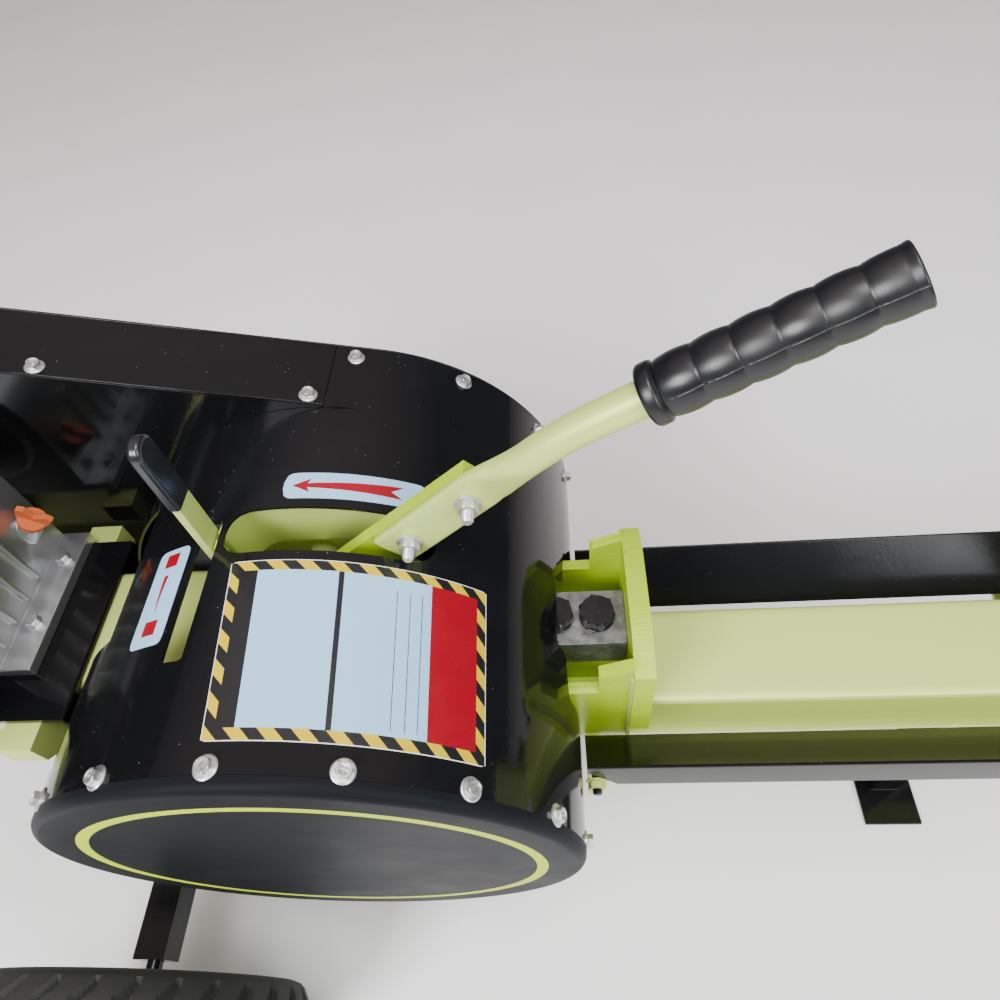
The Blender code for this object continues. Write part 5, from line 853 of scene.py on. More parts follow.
class LOGSPLITTER_OT_drum(bpy.types.Operator):
    """Rolled sheet round the flywheels, with the slots for the handle and the lever"""
    bl_idname = "log_splitter.drum"
    bl_label = "Drum wrap"

    def execute(self, context):
        radius, steps = sizes().drum_radius, sizes().drum_steps
        step = 360 / steps
        upper = plate(sheet_arc(radius, -SPLIT, 180 + SPLIT, round((180 + 2 * SPLIT) / step)),
                      "Y", WRAP_Y0, WRAP_Y1)
        first = math.radians(TANGENT)
        run = SEAM_RUN * np.array([-math.sin(first), math.cos(first)])
        out_arc = arc(radius, -SPLIT, TANGENT, 42)
        in_arc = arc(radius - SHEET, -SPLIT, TANGENT, 42)
        outline = np.vstack([out_arc, out_arc[-1:] + run, in_arc[-1:] + run, in_arc[::-1]])
        extension = plate(outline, "Y", WRAP_Y1 - 0.001, GUARD_Y1)
        slot = rounded([(-0.046, -0.0195), (0.1265, -0.0195), (0.1265, 0.0235), (-0.046, 0.0235)], 0.024, 12)
        lever = rounded([(-0.0695, -0.1095), (-0.0515, -0.1095), (-0.0515, 0.0165), (-0.0695, 0.0165)], 0.004)
        notch = [(0.0805, -0.04), (0.0805, 0.063), (0.040, 0.069), (0.036, 0.0885), (-0.036, 0.0885),
                 (-0.040, 0.069), (-0.0805, 0.063), (-0.0805, -0.04)]
        cuts = [plate(slot, "Z", 0.15, 0.27), plate(lever, "Z", 0.15, 0.27),
                plate(rounded(notch, 0.004), "X", 0.15, 0.27),
                box(-0.27, -0.10, -0.0685, 0.0685, -0.04, 0.188)]
        piece("drum_wrap_sheet", upper, "gloss_black_paint", replaces="drum_wrap_upper",
              bevel=0.0007, cuts=cuts, welds=[extension], sharp=30)
        liner = slot_wall(radius)
        piece("slot_liner", skin(liner, caps=True), "lime_paint", replaces="frame_cheeks",
              sharp=40)
        low = plate(sheet_arc(radius, 180 + SPLIT + 0.2, 360 - SPLIT - 0.2, 84), "Y", WRAP_Y0, WRAP_Y1)
        more = plate(sheet_arc(radius, TANGENT_LOW, 360 - SPLIT - 0.2, 62), "Y", WRAP_Y1 - 0.001, GUARD_Y1)
        piece("drum_wrap_lower_sheet", low, "gloss_black_paint",
              replaces="drum_wrap_lower", bevel=0.0007, welds=[more], sharp=30,
              cuts=[box(0.15, 0.27, -0.0805, 0.0805, -0.1269, 0.02),
                    box(-0.27, -0.15, -0.0635, 0.0635, -0.1269, 0.02)])
        return {"FINISHED"}


class LOGSPLITTER_OT_near_cover(bpy.types.Operator):
    """Round pan with a rolled rim that closes the drum on the near side"""
    bl_idname = "log_splitter.near_cover"
    bl_label = "Near cover"

    def execute(self, context):
        radius, edge = sizes().drum_radius, COVER_EDGE
        roll = COVER_ROLL
        rolled = arc(roll, -90, 0, 14) + (radius - roll, COVER_Y + roll)
        inner = arc(edge - SHEET, 0, -90, 10) + (radius - edge, COVER_Y + edge)
        skirt = radius - SHEET - GAP
        flat = [(r, COVER_Y) for r in (0.0, 0.03, 0.08, 0.13, 0.18, 0.21)]
        back = [(r, COVER_Y + SHEET) for r in (0.21, 0.13, 0.0)]
        rim = COVER_Y + edge
        step = [(radius, rim + 0.0001), (skirt, rim + 0.0012), (skirt, rim + 0.024),
                (skirt - SHEET, rim + 0.024), (skirt - SHEET, rim + 0.001)]
        profile = np.vstack([flat, rolled, step, inner, back])
        piece("near_cover_pan", turned(profile, "Y", (0, 0, 0), 192), "slate_paint",
              replaces="drum_near_cover", sharp=40)
        return {"FINISHED"}


class LOGSPLITTER_OT_belt_guard(bpy.types.Operator):
    """Strip, back plate and outer face of the belt guard"""
    bl_idname = "log_splitter.belt_guard"
    bl_label = "Belt guard"

    def execute(self, context):
        radius = sizes().drum_radius
        outer = guard_line(radius, TAIL_R, SEAM_RUN + GAP, 72)
        inner = guard_line(radius - SHEET, TAIL_R - SHEET, SEAM_RUN + GAP, 72)
        strip = plate(np.vstack([outer, inner[::-1]]), "Y", GUARD_Y0, GUARD_Y1)
        back = np.vstack([arc(radius - SHEET - GAP, TANGENT_LOW, 360 + TANGENT, 110),
                          arc(TAIL_R - SHEET, TANGENT, TANGENT_LOW, 72, TAIL)])
        holes = [plate(circle(0.030, 48), "Y", 0.12, 0.16), plate(circle(0.026, 48) + TAIL, "Y", 0.12, 0.16)]
        piece("belt_guard_back", plate(back, "Y", GUARD_Y0 + 0.0002, GUARD_Y0 + SHEET), "gloss_black_paint",
              replaces="belt_guard_box", cuts=holes, bevel=0.0004)
        piece("belt_guard_strip", strip, "gloss_black_paint", replaces="belt_guard_box",
              bevel=0.0009, sharp=30)
        face = np.vstack([arc(radius, TANGENT_LOW, 360 + TANGENT, 120),
                          arc(TAIL_R, TANGENT, TANGENT_LOW, 72, TAIL)])
        piece("belt_guard_outer", plate(face, "Y", GUARD_FACE_Y - SHEET, GUARD_FACE_Y), "gloss_black_paint",
              replaces="belt_guard_face", bevel=0.0010, segments=3)
        return {"FINISHED"}


class LOGSPLITTER_OT_cover_bolts(bpy.types.Operator):
    """Flange bolts round the near cover, on the far side of the drum and on the belt guard"""
    bl_idname = "log_splitter.cover_bolts"
    bl_label = "Cover bolts"

    def execute(self, context):
        bolt = flange_bolt()
        heads = []
        shift = np.zeros(16)
        shift[:6] = 0.0, 0.9, 1.7, 2.1, 1.5, 0.5
        for k in range(16):
            where, out = on_drum(BOLT_FIRST - 22.5 * k + shift[k], BOLT_Y - 0.0035, -0.0002)
            heads.append(aimed(bolt, where, out, 17.0 * k))
        piece("near_cover_bolts", heads, "zinc_plate",
              replaces=("drum_wrap_upper", "drum_wrap_lower"), sharp=32)
        far = []
        for k, degrees in enumerate((81.0, 54.5, 28.5, 7.4, 340.0, 315.0, 290.0, 262.0)):
            where, out = on_drum(degrees, 0.2075, -0.0002)
            far.append(aimed(bolt, where, out, 23.0 * k))
        lean = math.radians(TANGENT)
        out = np.array([math.cos(lean), 0.0, math.sin(lean)])
        along = np.array([-math.sin(lean), 0.0, math.cos(lean)])
        for k, (run, y) in enumerate(((0.056, 0.1500), (0.300, 0.1500))):
            where = out * (sizes().drum_radius - 0.0002) + along * run + (0, y, 0)
            far.append(aimed(bolt, where, out, 31.0 * k))
        piece("guard_edge_bolts", far, "zinc_plate", replaces="belt_guard_box", sharp=32)
        spots = np.vstack([arc(0.214, 60, -90, 3), arc(0.118, 90, 220, 2, TAIL)])
        face = [aimed(flange_bolt(), (x, GUARD_FACE_Y - 0.0002, z), (0, 1, 0), 19.0 * k)
                for k, (x, z) in enumerate(spots)]
        piece("guard_face_bolts", face, "zinc_plate", replaces="belt_guard_face", sharp=32)
        return {"FINISHED"}


class LOGSPLITTER_OT_labels(bpy.types.Operator):
    """Blank striped panel, arrow sticker and lever sticker on the drum"""
    bl_idname = "log_splitter.labels"
    bl_label = "Labels"

    def execute(self, context):
        for name, finish, angles, span, corner, near in (
                ("striped_panel_patch", "striped_panel", PANEL_ANGLES, PANEL_Y, 0.0012, PANEL_NEAR),
                ("arrow_sticker_patch", "arrow_sticker", ARROW_ANGLES, ARROW_Y, 0.010, None),
                ("lever_sticker_patch", "lever_sticker", LEVER_LABEL_ANGLES, LEVER_LABEL_Y, 0.007, None)):
            piece(name, drum_patch(angles, span, corner, near), finish, sharp=30)
        return {"FINISHED"}


def along_arm(u, v=0.0):
    """A point u along the arm from its pivot and v across it, in x, z."""
    a = math.radians(ARM_DEG)
    return np.array([u * math.cos(a) - v * math.sin(a), PIVOT[2] + u * math.sin(a) + v * math.cos(a)])


class LOGSPLITTER_OT_handle(bpy.types.Operator):
    """Arm bar, flattened tube, rubber grip, bolts and roller of the main handle"""
    bl_idname = "log_splitter.handle"
    bl_label = "Main handle"

    def execute(self, context):
        corners = np.array([along_arm(0.236, -0.021), along_arm(0.236, 0.021), along_arm(0.012, 0.021)])
        tail = np.array([along_arm(-0.0525 + 0.015 * math.cos(math.radians(a)),
                                   0.015 * math.sin(math.radians(a))) for a in range(90, 271, 15)])
        outline = dense(np.vstack([corners, tail, [along_arm(0.012, -0.021)]]), 0.0011)
        saw = np.random.default_rng(7).normal(0, 1, len(outline))
        saw = (saw + np.roll(saw, 1) * 0.6) * 0.00007
        d = np.roll(outline, -1, 0) - np.roll(outline, 1, 0)
        d /= np.linalg.norm(d, axis=1)[:, None]
        outline = outline + np.stack([-d[:, 1], d[:, 0]], -1) * saw[:, None]
        piece("arm_bar", plate(outline, "Y", -0.001, 0.011), "lime_cut_bar", "handle",
              replaces="handle_arm", bevel=0.0004, segments=1, sharp=50)
        x, z = along_arm(-0.0525)
        pin = turned([(0, -0.0213), (0.0065, -0.0213), (0.007, -0.0208), (0.007, -0.0171), (0.004, -0.0171),
                      (0.004, 0.001), (0, 0.001)], "Y", (x, 0, z), 40)
        piece("roller_pin", pin, "machined_steel", "handle", replaces="handle_arm")

        piece("bent_tube", self.tube(), "lime_paint", "handle", replaces="handle_tube",
              sharp=60)
        piece("rubber_grip", self.grip(), "grip_rubber", "handle", replaces="handle_grip",
              sharp=50)
        for node, u in (("handle_bolt_lower", 0.146), ("handle_bolt_upper", 0.2183)):
            x, z = along_arm(u)
            near, far = -0.0089 - GAP, 0.011 + GAP
            shells = [aimed(hex_head(0.0150, 0.0066, 0.0106), (x, near, z), (0, -1, 0), ARM_DEG + 10),
                      aimed(thread(0.0050, 0.0019, 0.0175, 24, 10), (x, near, z), (0, -1, 0)),
                      aimed(hex_head(0.013, 0.0050), (x, far, z), (0, 1, 0), ARM_DEG + 10)]
            piece(f"{node}_set", shells, "zinc_plate", "handle", replaces=node, sharp=30)
        return {"FINISHED"}

    def tube(self):
        """Round tube pressed flat at its lower end: the section is a superellipse whose half
        width, half thickness and corner power follow a smooth step along the path."""
        radius = sizes().tube_radius
        start = along_arm(0.124)
        first = unit(TUBE_BEND - start)
        last = np.array([math.cos(math.radians(GRIP_DEG)), math.sin(math.radians(GRIP_DEG))])
        reach, bend = 0.030, TUBE_BEND
        flat_run = np.linspace(0, np.linalg.norm(bend - start) - reach, 60)[:-1]
        line = start + first * flat_run[:, None]
        t = np.linspace(0, 1, 14)[:, None]
        curve = ((bend - first * reach) * (1 - t) ** 2 + bend * 2 * t * (1 - t)
                 + (bend + last * reach) * t ** 2)
        rest = bend + last * np.linspace(reach, 0.208, 20)[1:, None]
        path = np.vstack([line, curve, rest])
        s = np.concatenate([[0], np.cumsum(np.linalg.norm(np.diff(path, axis=0), axis=1))])
        x = np.clip((s - 0.1040) / 0.062, 0, 1)[:, None]
        flat = 1 - x * x * (3 - 2 * x)
        a = (np.arange(48) + 0.5) * 2 * np.pi / 48
        wide = radius + flat * (0.0195 - radius)
        thick = radius + flat * (0.0038 - radius)
        power = 1 - 0.62 * flat
        u = wide * np.sign(np.cos(a)) * np.abs(np.cos(a)) ** power
        w = thick * np.sign(np.sin(a)) * np.abs(np.sin(a)) ** power
        ahead = np.gradient(path, axis=0)
        ahead /= np.linalg.norm(ahead, axis=1)[:, None]
        side = np.stack([-ahead[:, 1], ahead[:, 0]], -1)
        centre = -0.0051 - (1 - flat) * 0.004
        dent = 0.0010 * np.exp(-((s[:, None] - 0.128 - 0.6 * u) / 0.0045) ** 2) * np.cos(a) ** 2
        w = np.where(w < 0, w + dent, w)
        points = np.stack([path[:, :1] + side[:, :1] * u, centre + w, path[:, 1:] + side[:, 1:] * u], -1)
        return skin(points, caps=True)

    def grip(self):
        """Hollow grip: radius = base + low arch of each bulge, flaring in the last one, then slimmed
        and set down by the share of its length to the power 1.5. It has a raised collar at the
        start, a thin parting groove along both sides, and an open end."""
        radius, count = sizes().grip_radius, sizes().grip_bulges
        s = np.linspace(0.0125, 0.1545, 190)
        t = (s - 0.0125) / (0.1545 - 0.0125)
        arch = np.abs(np.sin(np.pi * t * count)) ** 0.75
        flare = np.clip(t * count - (count - 0.5), 0, None) / 0.5
        body = radius - 0.0017 + 0.0014 * np.maximum(arch, flare) + 0.0006 * t + 0.0006 * flare
        collar_s = np.array([0.0, 0.0004, 0.0015, 0.0030, 0.0080, 0.0094, 0.0102, 0.0112])
        collar_r = radius + np.array([-0.0014, -0.0006, 0.0002, 0.0005, 0.0004, -0.0001, -0.0014, -0.0024])
        end_s = np.array([0.1555, 0.1560, 0.1560])
        end_r = np.array([body[-1] - 0.0004, body[-1] - 0.0012, 0.0136])
        bore_s, bore_r = np.array([0.1545, 0.150, 0.002, 0.0004]), np.array([0.0130, 0.0129, 0.0129, 0.0132])
        s = np.concatenate([collar_s, s, end_s, bore_s])[:, None]
        r = np.concatenate([collar_r, body, end_r, bore_r])[:, None]
        fine = np.linspace(-0.07, 0.07, 15)
        a = np.sort(np.concatenate([np.linspace(0, 2 * np.pi, 112, endpoint=False), SEAM_ANGLE + fine,
                                    SEAM_ANGLE + np.pi + fine]))[None]
        outside = (r > 0.0145) & (s > 0.0115)
        burr = 1 + 0.8 * np.sin(s * 2100.0) * np.sin(s * 770.0)
        seam = sum(np.exp(-(((a - m + np.pi) % (2 * np.pi) - np.pi) / 0.018) ** 2)
                   for m in (SEAM_ANGLE, SEAM_ANGLE + np.pi))
        r = r - np.where(outside, 0.00042 * seam * burr, 0.0)
        slim = 0.0023 * np.clip(s / 0.156, 0, 1) ** 1.5
        r = r - np.where(r > 0.0145, slim, 0.0)
        last = np.array([math.cos(math.radians(GRIP_DEG)), 0.0, math.sin(math.radians(GRIP_DEG))])
        up = np.array([-last[2], 0.0, last[0]])
        base = np.array([TUBE_BEND[0], -0.0091, TUBE_BEND[1]]) + last * 0.064
        across_y = np.array([0.0, -1.0, 0.0])
        points = (base + last * s[..., None] + across_y * (r * np.cos(a))[..., None]
                  + up * (r * np.sin(a) - slim)[..., None])
        return skin(points, close_rows=True)


class LOGSPLITTER_OT_safety_lever(bpy.types.Operator):
    """Flat lever with its dipped end, and its pivot bolt"""
    bl_idname = "log_splitter.safety_lever"
    bl_label = "Safety lever"

    def execute(self, context):
        half = 0.011
        top = LEVER_Z1 - 0.0014 - half
        outline = np.vstack([arc(half, 0, 180, 24, (LEVER_OUT_Y, top)), [(LEVER_OUT_Y - half, 0.206)],
                             arc(half, 186, 366, 24, (LEVER_Y, LEVER_Z0)), [(LEVER_OUT_Y + half, 0.206)]])
        left, right = LEVER_X - 0.0035, LEVER_X + 0.0035
        piece("lever_bar", plate(outline, "X", left, right), "lime_paint", "safety_lever",
              replaces="safety_lever", bevel=0.0007)
        grow = 0.0017
        sleeve = np.vstack([arc(half + grow, 0, 180, 32, (LEVER_OUT_Y, top)),
                            [(LEVER_OUT_Y - half - grow, 0.285)], [(LEVER_OUT_Y + half + grow, 0.285)]])
        piece("lever_dip", plate(sleeve, "X", left - grow, right + grow), "dipped_plastic",
              "safety_lever", replaces="lever_sleeve", bevel=0.0034, segments=5)
        nut = aimed(hex_head(0.016, 0.0078), (left - 0.005 - 2 * GAP, LEVER_Y, LEVER_Z0), (-1, 0, 0))
        head = aimed(hex_head(0.015, 0.0036), (LEVER_X + 0.0035 + GAP, LEVER_Y, LEVER_Z0), (1, 0, 0))
        shank = aimed(thread(0.0049, 0.00125, 0.023), (LEVER_X + 0.004, LEVER_Y, LEVER_Z0), (-1, 0, 0))
        piece("lever_pivot_set", [nut, head, shank], "lime_paint",
              replaces="lever_pivot_bolt", sharp=30)
        pivot = [aimed(hex_head(0.024, 0.0095), (0, 0.0608, PIVOT[2]), (0, 1, 0), 11),
                 aimed(hex_head(0.024, 0.0085), (0, -0.0608, PIVOT[2]), (0, -1, 0), 11),
                 aimed(thread(0.0079, 0.0015, 0.133), (0, 0.0620, PIVOT[2]), (0, -1, 0))]
        piece("handle_pivot_set", pivot, "zinc_plate", replaces="handle_pivot_bolt", sharp=30)
        return {"FINISHED"}


class LOGSPLITTER_OT_pusher(bpy.types.Operator):
    """Welded pusher, clamp block and its two bolts"""
    bl_idname = "log_splitter.pusher"
    bl_label = "Pusher"

    def execute(self, context):
        body = dressed("pusher", "lime_cut_plate", 0.0)
        carve(body, cuts=[box(0.15, 0.2588, 0.058, 0.084, 0.0575, 0.12)])
        finished(body, "lime_cut_plate", "carriage", "pusher", 0.0010, 3, 38.0)
        z = np.linspace(-0.050, 0.088, 70)
        beads = []
        for side in (1, -1):
            path = np.stack([0.2890 + 0 * z, side * 0.0738 + 0 * z, z], -1)
            size = 0.0024 + 0.0005 * np.sin(z * 1500.0) + 0.0003 * np.sin(z * 617.0)
            beads.append(swept(circle(1.0, 14)[None] * size[:, None, None], path, (0.0, 1.0, 0.0)))
        piece("pusher_weld_beads", beads, "lime_paint", "carriage", replaces="pusher", sharp=60)
        dressed("clamp_block", "worn_zinc", 0.0008, 2)
        for side, x in (("rear", 0.222), ("front", 0.262)):
            head = aimed(hex_head(0.0315, 0.0125, 0.0172), (x, 0, 0.0688), (0, 0, 1), 12)
            shank = aimed(polar([(0, 0.010), (0.064, 0.010)], 32), (x, 0, 0.0695), (0, 0, -1))
            piece(f"clamp_bolt_{side}_set", [head, shank], "black_oxide", "carriage",
                  replaces=f"clamp_bolt_{side}", sharp=30)
        repaint("rack", "machined_steel")
        repaint("press_roller", "machined_steel")
        repaint("rack_lift_pad", "grip_rubber")
        return {"FINISHED"}


class LOGSPLITTER_OT_beam(bpy.types.Operator):
    """Rolled beam, cradle straps, cheeks, rack tunnel and engine plate"""
    bl_idname = "log_splitter.beam"
    bl_label = "Beam and frame"

    def execute(self, context):
        top, low, half, web, flange = BEAM_TOP, BEAM_TOP - BEAM_H, BEAM_HALF, 0.003, 0.008
        right = np.array([(half, top), (half, top - flange), (web, top - flange), (web, low + flange),
                          (half, low + flange), (half, low)])
        outline = np.vstack([right, right[::-1] * (-1, 1)])
        radii = np.array([0.0110, 0.0012, 0.008, 0.008, 0.002, 0.0035])
        outline = rounded(outline, np.concatenate([radii, radii[::-1]]), 6)
        pocket = box(-0.041, 0.041, -0.024, 0.024, -0.034, 0.0)
        piece("beam_section", plate(outline, "X", BEAM_X0, BEAM_X1), "lime_paint",
              replaces="beam", cuts=[pocket], sharp=30)
        shells = []
        for x0, x1, wall, rise in ((0.2457, 0.2617, 0.1195, -0.020), (0.7475, 0.7825, 0.1195, -0.020)):
            line = rounded_line([(half - 0.004, low), (wall, low), (wall, rise)], 0.012)
            strap = plate(np.vstack([line, offset(line, 0.006)[::-1]]), "X", x0, x1)
            shells += [strap, mirrored(strap)]
        piece("cradle_straps", shells, "lime_paint", replaces="beam", bevel=0.0008)
        bolts = []
        studs = []
        for side in (1, -1):
            for x in (0.2538, 0.7650):
                where = (x, side * 0.1255, -0.038)
                bolts.append(aimed(hex_head(0.0150, 0.0066, 0.0112), where, (0, side, 0), 11))
                stud = thread(0.0050, 0.0017, 0.0195, 24, 10)
                studs.append(aimed(stud, (x, side * 0.1195, -0.038), (0, side, 0)))
        piece("cradle_end_nuts", bolts, "lime_paint", replaces="beam", sharp=30)
        piece("cradle_end_studs", studs, "dark_thread", replaces="beam", sharp=30)
        dressed("frame_cheeks", "lime_paint", 0.0008)
        dressed("rack_tunnel", "lime_paint", 0.0010)
        dressed("engine_plate", "gloss_black_paint", 0.0014, 3)
        return {"FINISHED"}


def rounded_line(line, radius, steps=6):
    """An open line whose inner corners become quadratic curves."""
    p = np.asarray(line, float)
    parts = [p[:1]]
    for before, here, after in zip(p[:-2], p[1:-1], p[2:]):
        a, b = here + unit(before - here) * radius, here + unit(after - here) * radius
        t = np.linspace(0, 1, steps + 1)[:, None]
        parts.append(a * (1 - t) ** 2 + here * 2 * t * (1 - t) + b * t ** 2)
    return np.vstack(parts + [p[-1:]])


class LOGSPLITTER_OT_cradles(bpy.types.Operator):
    """Folded log cradles on both sides of the beam"""
    bl_idname = "log_splitter.cradles"
    bl_label = "Log cradles"

    def execute(self, context):
        line = rounded_line([(0.0745, -0.0555), (0.0890, -0.0375), (0.124, 0.000), (0.127, -0.045)], 0.0045)
        thick = 0.003
        for side, node in ((1, "log_cradle_far"), (-1, "log_cradle_near")):
            x = np.concatenate([np.linspace(0.2445, 0.2745, 13), np.linspace(0.29, 0.79, 26)])
            lowest = np.interp(x, [0.2445, 0.2745], [-0.012, -0.045])
            inner = np.broadcast_to(line, (len(x), *line.shape)).copy()
            outer = np.broadcast_to(offset(line, -thick), inner.shape).copy()
            for sheet in (inner, outer):
                sheet[:, -1, 1] = np.maximum(sheet[:, -1, 1], lowest)
                step = sheet[:, -1, 0] - sheet[:, -2, 0]
                sheet[:, -1, 0] = sheet[:, -2, 0] + step * sheet[:, -1, 1] / -0.045
            ring = np.concatenate([inner, outer[:, ::-1]], 1)
            points = np.stack([np.broadcast_to(x[:, None], ring.shape[:2]), ring[..., 0], ring[..., 1]], -1)
            shell = skin(points, caps=True)
            shell = shell if side == 1 else mirrored(shell)
            piece(f"{node}_sheet", shell, "cradle_black", replaces=node, bevel=0.0006)
        return {"FINISHED"}


class LOGSPLITTER_OT_spring(bpy.types.Operator):
    """Fine return spring on its peg"""
    bl_idname = "log_splitter.spring"
    bl_label = "Return spring"

    def execute(self, context):
        curls, steps, coil, wire = sizes().spring_curls, 14, 0.0052, 0.0010
        y, z, hook = 0.0740, 0.1017, 0.0043
        rear, front = (-0.114, 0.1035), (0.2100, 0.1035)
        x0, x1 = rear[0] + 0.012, front[0] - 0.012
        a = np.linspace(0, 2 * np.pi * curls, curls * steps + 1)
        ease = np.clip(np.minimum(a, a[-1] - a) / (4 * np.pi), 0, 1)
        helix = np.stack([x0 + (x1 - x0) * a / a[-1], y + coil * np.sin(a), z + coil * np.cos(a)], -1)
        hooks = [np.stack([p[:, 0], np.full(len(p), y), p[:, 1]], -1)
                 for p in (arc(hook, 300, 90, 14, rear), arc(hook, 90, -120, 14, front))]
        path = np.vstack([hooks[0], helix, hooks[1]])
        keep = np.concatenate([[True], np.linalg.norm(np.diff(path, axis=0), axis=1) > 1e-5])
        piece("return_spring_coil", tube_along(path[keep], wire * 0.95, 7), "machined_steel",
              replaces="return_spring", sharp=70)
        if not ease.max() > 0:
            raise RuntimeError("the spring has no curls")
        return {"FINISHED"}


def tube_along(path, radius, sides):
    """A round wire along a path: at each point the circle lies across the path's direction, and its sides are
    set by that direction crossed with one fixed direction."""
    along = np.gradient(path, axis=0)
    along /= np.linalg.norm(along, axis=1)[:, None]
    side = np.cross(along, (0.0, 0.31, 0.95))
    side /= np.linalg.norm(side, axis=1)[:, None]
    rise = np.cross(along, side)
    a = np.linspace(0, 2 * np.pi, sides, endpoint=False)
    ring = side[:, None] * np.cos(a)[None, :, None] + rise[:, None] * np.sin(a)[None, :, None]
    return skin(path[:, None] + ring * radius, caps=True)


class LOGSPLITTER_OT_running_gear(bpy.types.Operator):
    """Tyres, rims, axle, leg, wedge and lifting handle"""
    bl_idname = "log_splitter.running_gear"
    bl_label = "Wheels, leg and wedge"

    def execute(self, context):
        for side, sign in (("near", -1), ("far", 1)):
            centre = np.array([-0.300, sign * 0.328, -0.300])
            piece(f"tyre_{side}_tread", self.tyre(centre), "tyre_rubber", f"wheel_{side}",
                  replaces=f"tyre_{side}", sharp=40)
            piece(f"rim_{side}_disc", self.rim(centre, sign), "lime_paint", f"wheel_{side}",
                  replaces=f"rim_{side}", sharp=40)
        dressed("axle_frame", "gloss_black_paint", 0.0015)
        dressed("support_leg", "gloss_black_paint", 0.0012)
        dressed("splitting_wedge", "lime_paint", 0.0012)
        z, y_root = -0.0269, 0.0650
        right = [(0.840, y_root), (0.900, y_root), (0.935, 0.078), (0.972, 0.105), (1.0275, 0.1175)]
        corner = np.array([(0.840, y_root), (0.905, y_root), (0.968, 0.1175), (1.0275, 0.1175)])
        half = rounded_line(corner[:3], 0.030, 12)
        bend = arc(0.045, 90, 0, 14, (0.9825, 0.0725))
        line = np.vstack([half[:-1], bend])
        whole = np.vstack([line, line[::-1] * (1, -1)])
        s = np.concatenate([[0], np.cumsum(np.linalg.norm(np.diff(whole, axis=0), axis=1))])
        even = np.linspace(0, s[-1], 120)
        flat = np.stack([np.interp(even, s, whole[:, k]) for k in (0, 1)], -1)
        path = np.stack([flat[:, 0], flat[:, 1], np.full(len(flat), z)], -1)
        piece("lifting_loop", swept(circle(0.0125, 32), path), "gloss_black_paint",
              replaces="lift_handle", sharp=40)
        if len(right) != 5:
            raise RuntimeError("the lifting loop has lost a corner")
        return {"FINISHED"}

    def tyre(self, centre):
        """Tyre section turned about the axle: on the crown the radius drops into grooves where the
        phase of angle and slant of one block row passes the gap."""
        half, radius, bead = 0.050, 0.200, 0.1083
        w = np.concatenate([[-0.62, -0.80, -0.92, -0.985, -1.0, -0.985, -0.93, -0.84],
                            np.linspace(-0.74, 0.74, 21),
                            [0.84, 0.93, 0.985, 1.0, 0.985, 0.92, 0.80, 0.62]]) * half
        crown = np.sqrt(np.clip(1 - (np.linspace(-0.74, 0.74, 21) / 1.25) ** 2, 0, 1))
        crown = radius - (1 - (crown - crown.min()) / (1 - crown.min())) * 0.011
        side = np.array([bead, 0.114, 0.1262, 0.142, 0.158, 0.172, 0.181, 0.1862])
        r = np.concatenate([side, crown, side[::-1]])
        a = np.linspace(0, 2 * np.pi, 360, endpoint=False)[None]
        blocks = sizes().tyre_blocks
        s = (w / half)[:, None]
        phase = (a / (2 * np.pi) * blocks + 0.9 * np.abs(s)) % 1.0
        gap = (phase < 0.24) | (np.abs(np.abs(s) - 0.26) < 0.05)
        tread = (np.abs(s) < 0.80)
        rr = r[:, None] - np.where(gap & tread, 0.0060, 0.0)
        points = across("Y", rr * np.cos(a), rr * np.sin(a), w[:, None] + 0 * a) + centre
        return skin(points, close_rows=True)

    def rim(self, centre, sign):
        """Pressed steel disc and hub turned about the axle."""
        dish = sign * 0.010
        half = 0.031
        profile = np.array([(0.0103, -0.040), (0.022, -0.040), (0.024, -0.038), (0.024, dish - 0.006),
                            (0.028, dish - 0.003), (0.060, dish - 0.003),
                             (0.072, dish + sign * 0.008 - 0.003),
                            (0.084, dish - 0.003), (0.094, -half * 0.55), (0.099, -half * 0.92),
                            (0.1078, -half - 0.0012), (0.1078, -half + 0.002), (0.1000, -half * 0.6),
                            (0.1000, half * 0.6), (0.1078, half - 0.002), (0.1078, half + 0.0012),
                            (0.099, half * 0.92), (0.094, half * 0.55), (0.084, dish + 0.001),
                            (0.072, dish + sign * 0.008 + 0.001), (0.060, dish + 0.001),
                             (0.028, dish + 0.001),
                            (0.024, dish + 0.004), (0.024, 0.038), (0.022, 0.040), (0.0103, 0.040)])
        return turned(profile, "Y", centre, 96, closed=True)


class LOGSPLITTER_OT_engine(bpy.types.Operator):
    """Petrol engine with its tank, air cleaner, silencer and controls"""
    bl_idname = "log_splitter.engine"
    bl_label = "Engine"

    def execute(self, context):
        dressed("crankcase", "cast_aluminium", 0.0016, 3)
        dressed("cylinder", "cast_aluminium", 0.0006)
        dressed("blower_housing", "gloss_black_paint", 0.0010)
        dressed("recoil_starter", "black_plastic", 0.0012, 3)
        dressed("recoil_grip", "black_plastic", 0.0010, 3)
        dressed("fuel_tank", "gloss_black_paint", 0.0012, 3)
        dressed("fuel_cap", "black_plastic", 0.0010, 3)
        dressed("air_cleaner", "black_plastic", 0.0012, 3)
        dressed("carburettor", "cast_aluminium", 0.0008)
        dressed("silencer", "machined_steel", 0.0012, 3)
        dressed("spark_plug_cap", "grip_rubber", 0.0015, 3)
        dressed("oil_dipstick", "orange_plastic", 0.0010, 3)
        dressed("choke_lever", "black_plastic", 0.0006)
        dressed("fuel_valve_lever", "black_plastic", 0.0006)
        dressed("throttle_lever", "machined_steel", 0.0005)
        dressed("engine_switch", "orange_plastic", 0.0008)
        return {"FINISHED"}


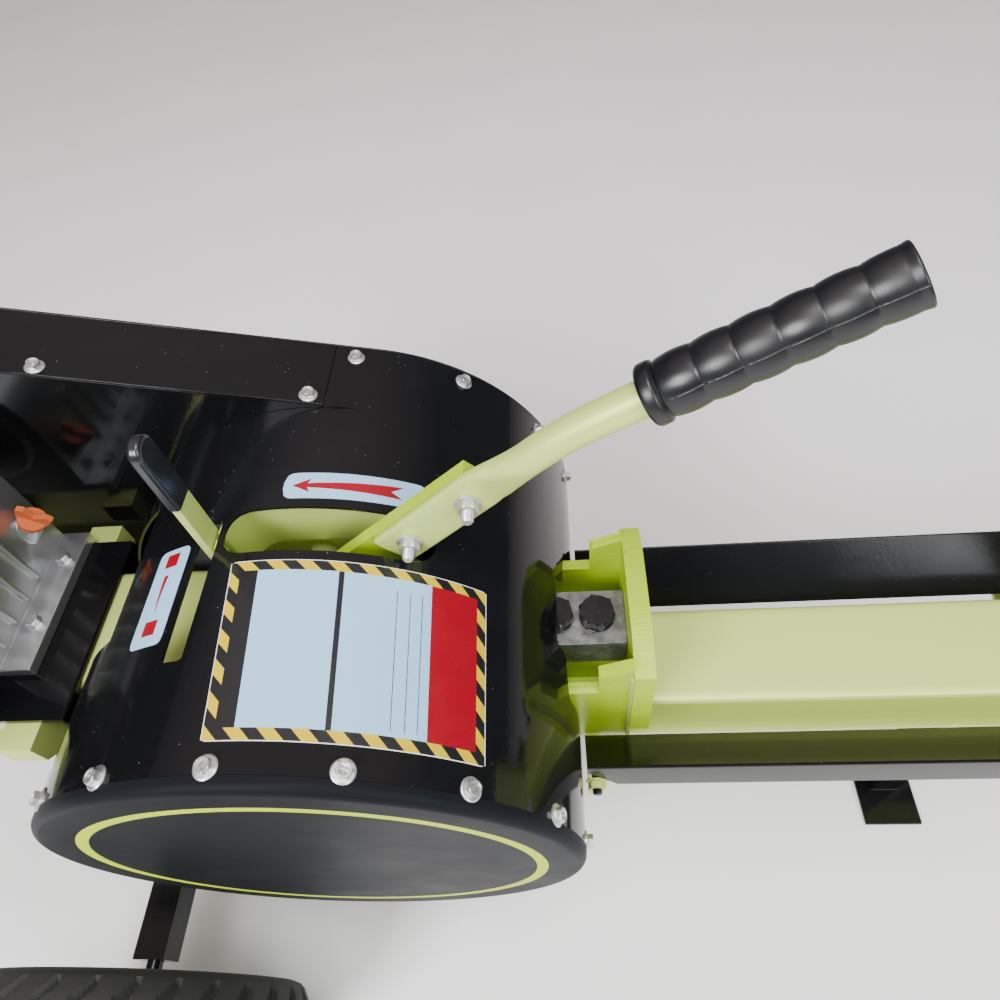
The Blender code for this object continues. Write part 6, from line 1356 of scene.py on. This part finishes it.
class LOGSPLITTER_OT_drive(bpy.types.Operator):
    """Flywheels, shaft, pulleys and belt inside the drum and the guard"""
    bl_idname = "log_splitter.drive"
    bl_label = "Flywheels and belt"

    def execute(self, context):
        for node in ("flywheel_near", "flywheel_far", "flywheel_pulley", "bearing_near", "bearing_far"):
            dressed(node, "cast_iron", 0.0012)
        for node in ("pinion_shaft", "engine_pulley"):
            dressed(node, "machined_steel", 0.0006)
        repaint("drive_belt", "grip_rubber")
        return {"FINISHED"}


class LOGSPLITTER_PT_panel(bpy.types.Panel):
    """Lists the steps that build the log splitter"""
    bl_idname = "LOGSPLITTER_PT_panel"
    bl_label = "Log splitter"
    bl_space_type = "VIEW_3D"
    bl_region_type = "UI"
    bl_category = "Log splitter"

    def draw(self, context):
        for step in STEPS:
            self.layout.operator(step.bl_idname)
        for group in (context.scene.log_splitter_sizes, context.scene.log_splitter_colours):
            for key in group.__annotations__:
                self.layout.prop(group, key)


STEPS = (LOGSPLITTER_OT_stage, LOGSPLITTER_OT_drum, LOGSPLITTER_OT_near_cover, LOGSPLITTER_OT_belt_guard,
         LOGSPLITTER_OT_cover_bolts, LOGSPLITTER_OT_labels, LOGSPLITTER_OT_handle,
         LOGSPLITTER_OT_safety_lever, LOGSPLITTER_OT_pusher, LOGSPLITTER_OT_beam, LOGSPLITTER_OT_cradles,
         LOGSPLITTER_OT_spring, LOGSPLITTER_OT_running_gear, LOGSPLITTER_OT_engine, LOGSPLITTER_OT_drive)
CLASSES = (LogSplitterSizes, LogSplitterColours, *STEPS, LOGSPLITTER_PT_panel)


def register():
    for cls in CLASSES:
        bpy.utils.register_class(cls)
    bpy.types.Scene.log_splitter_sizes = PointerProperty(type=LogSplitterSizes)
    bpy.types.Scene.log_splitter_colours = PointerProperty(type=LogSplitterColours)


def unregister():
    del bpy.types.Scene.log_splitter_colours
    del bpy.types.Scene.log_splitter_sizes
    for cls in reversed(CLASSES):
        bpy.utils.unregister_class(cls)


def main():
    register()
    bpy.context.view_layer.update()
    make_materials()
    for step in STEPS:
        group, call = step.bl_idname.split(".")
        getattr(getattr(bpy.ops, group), call)()


if __name__ == "__main__":
    main()
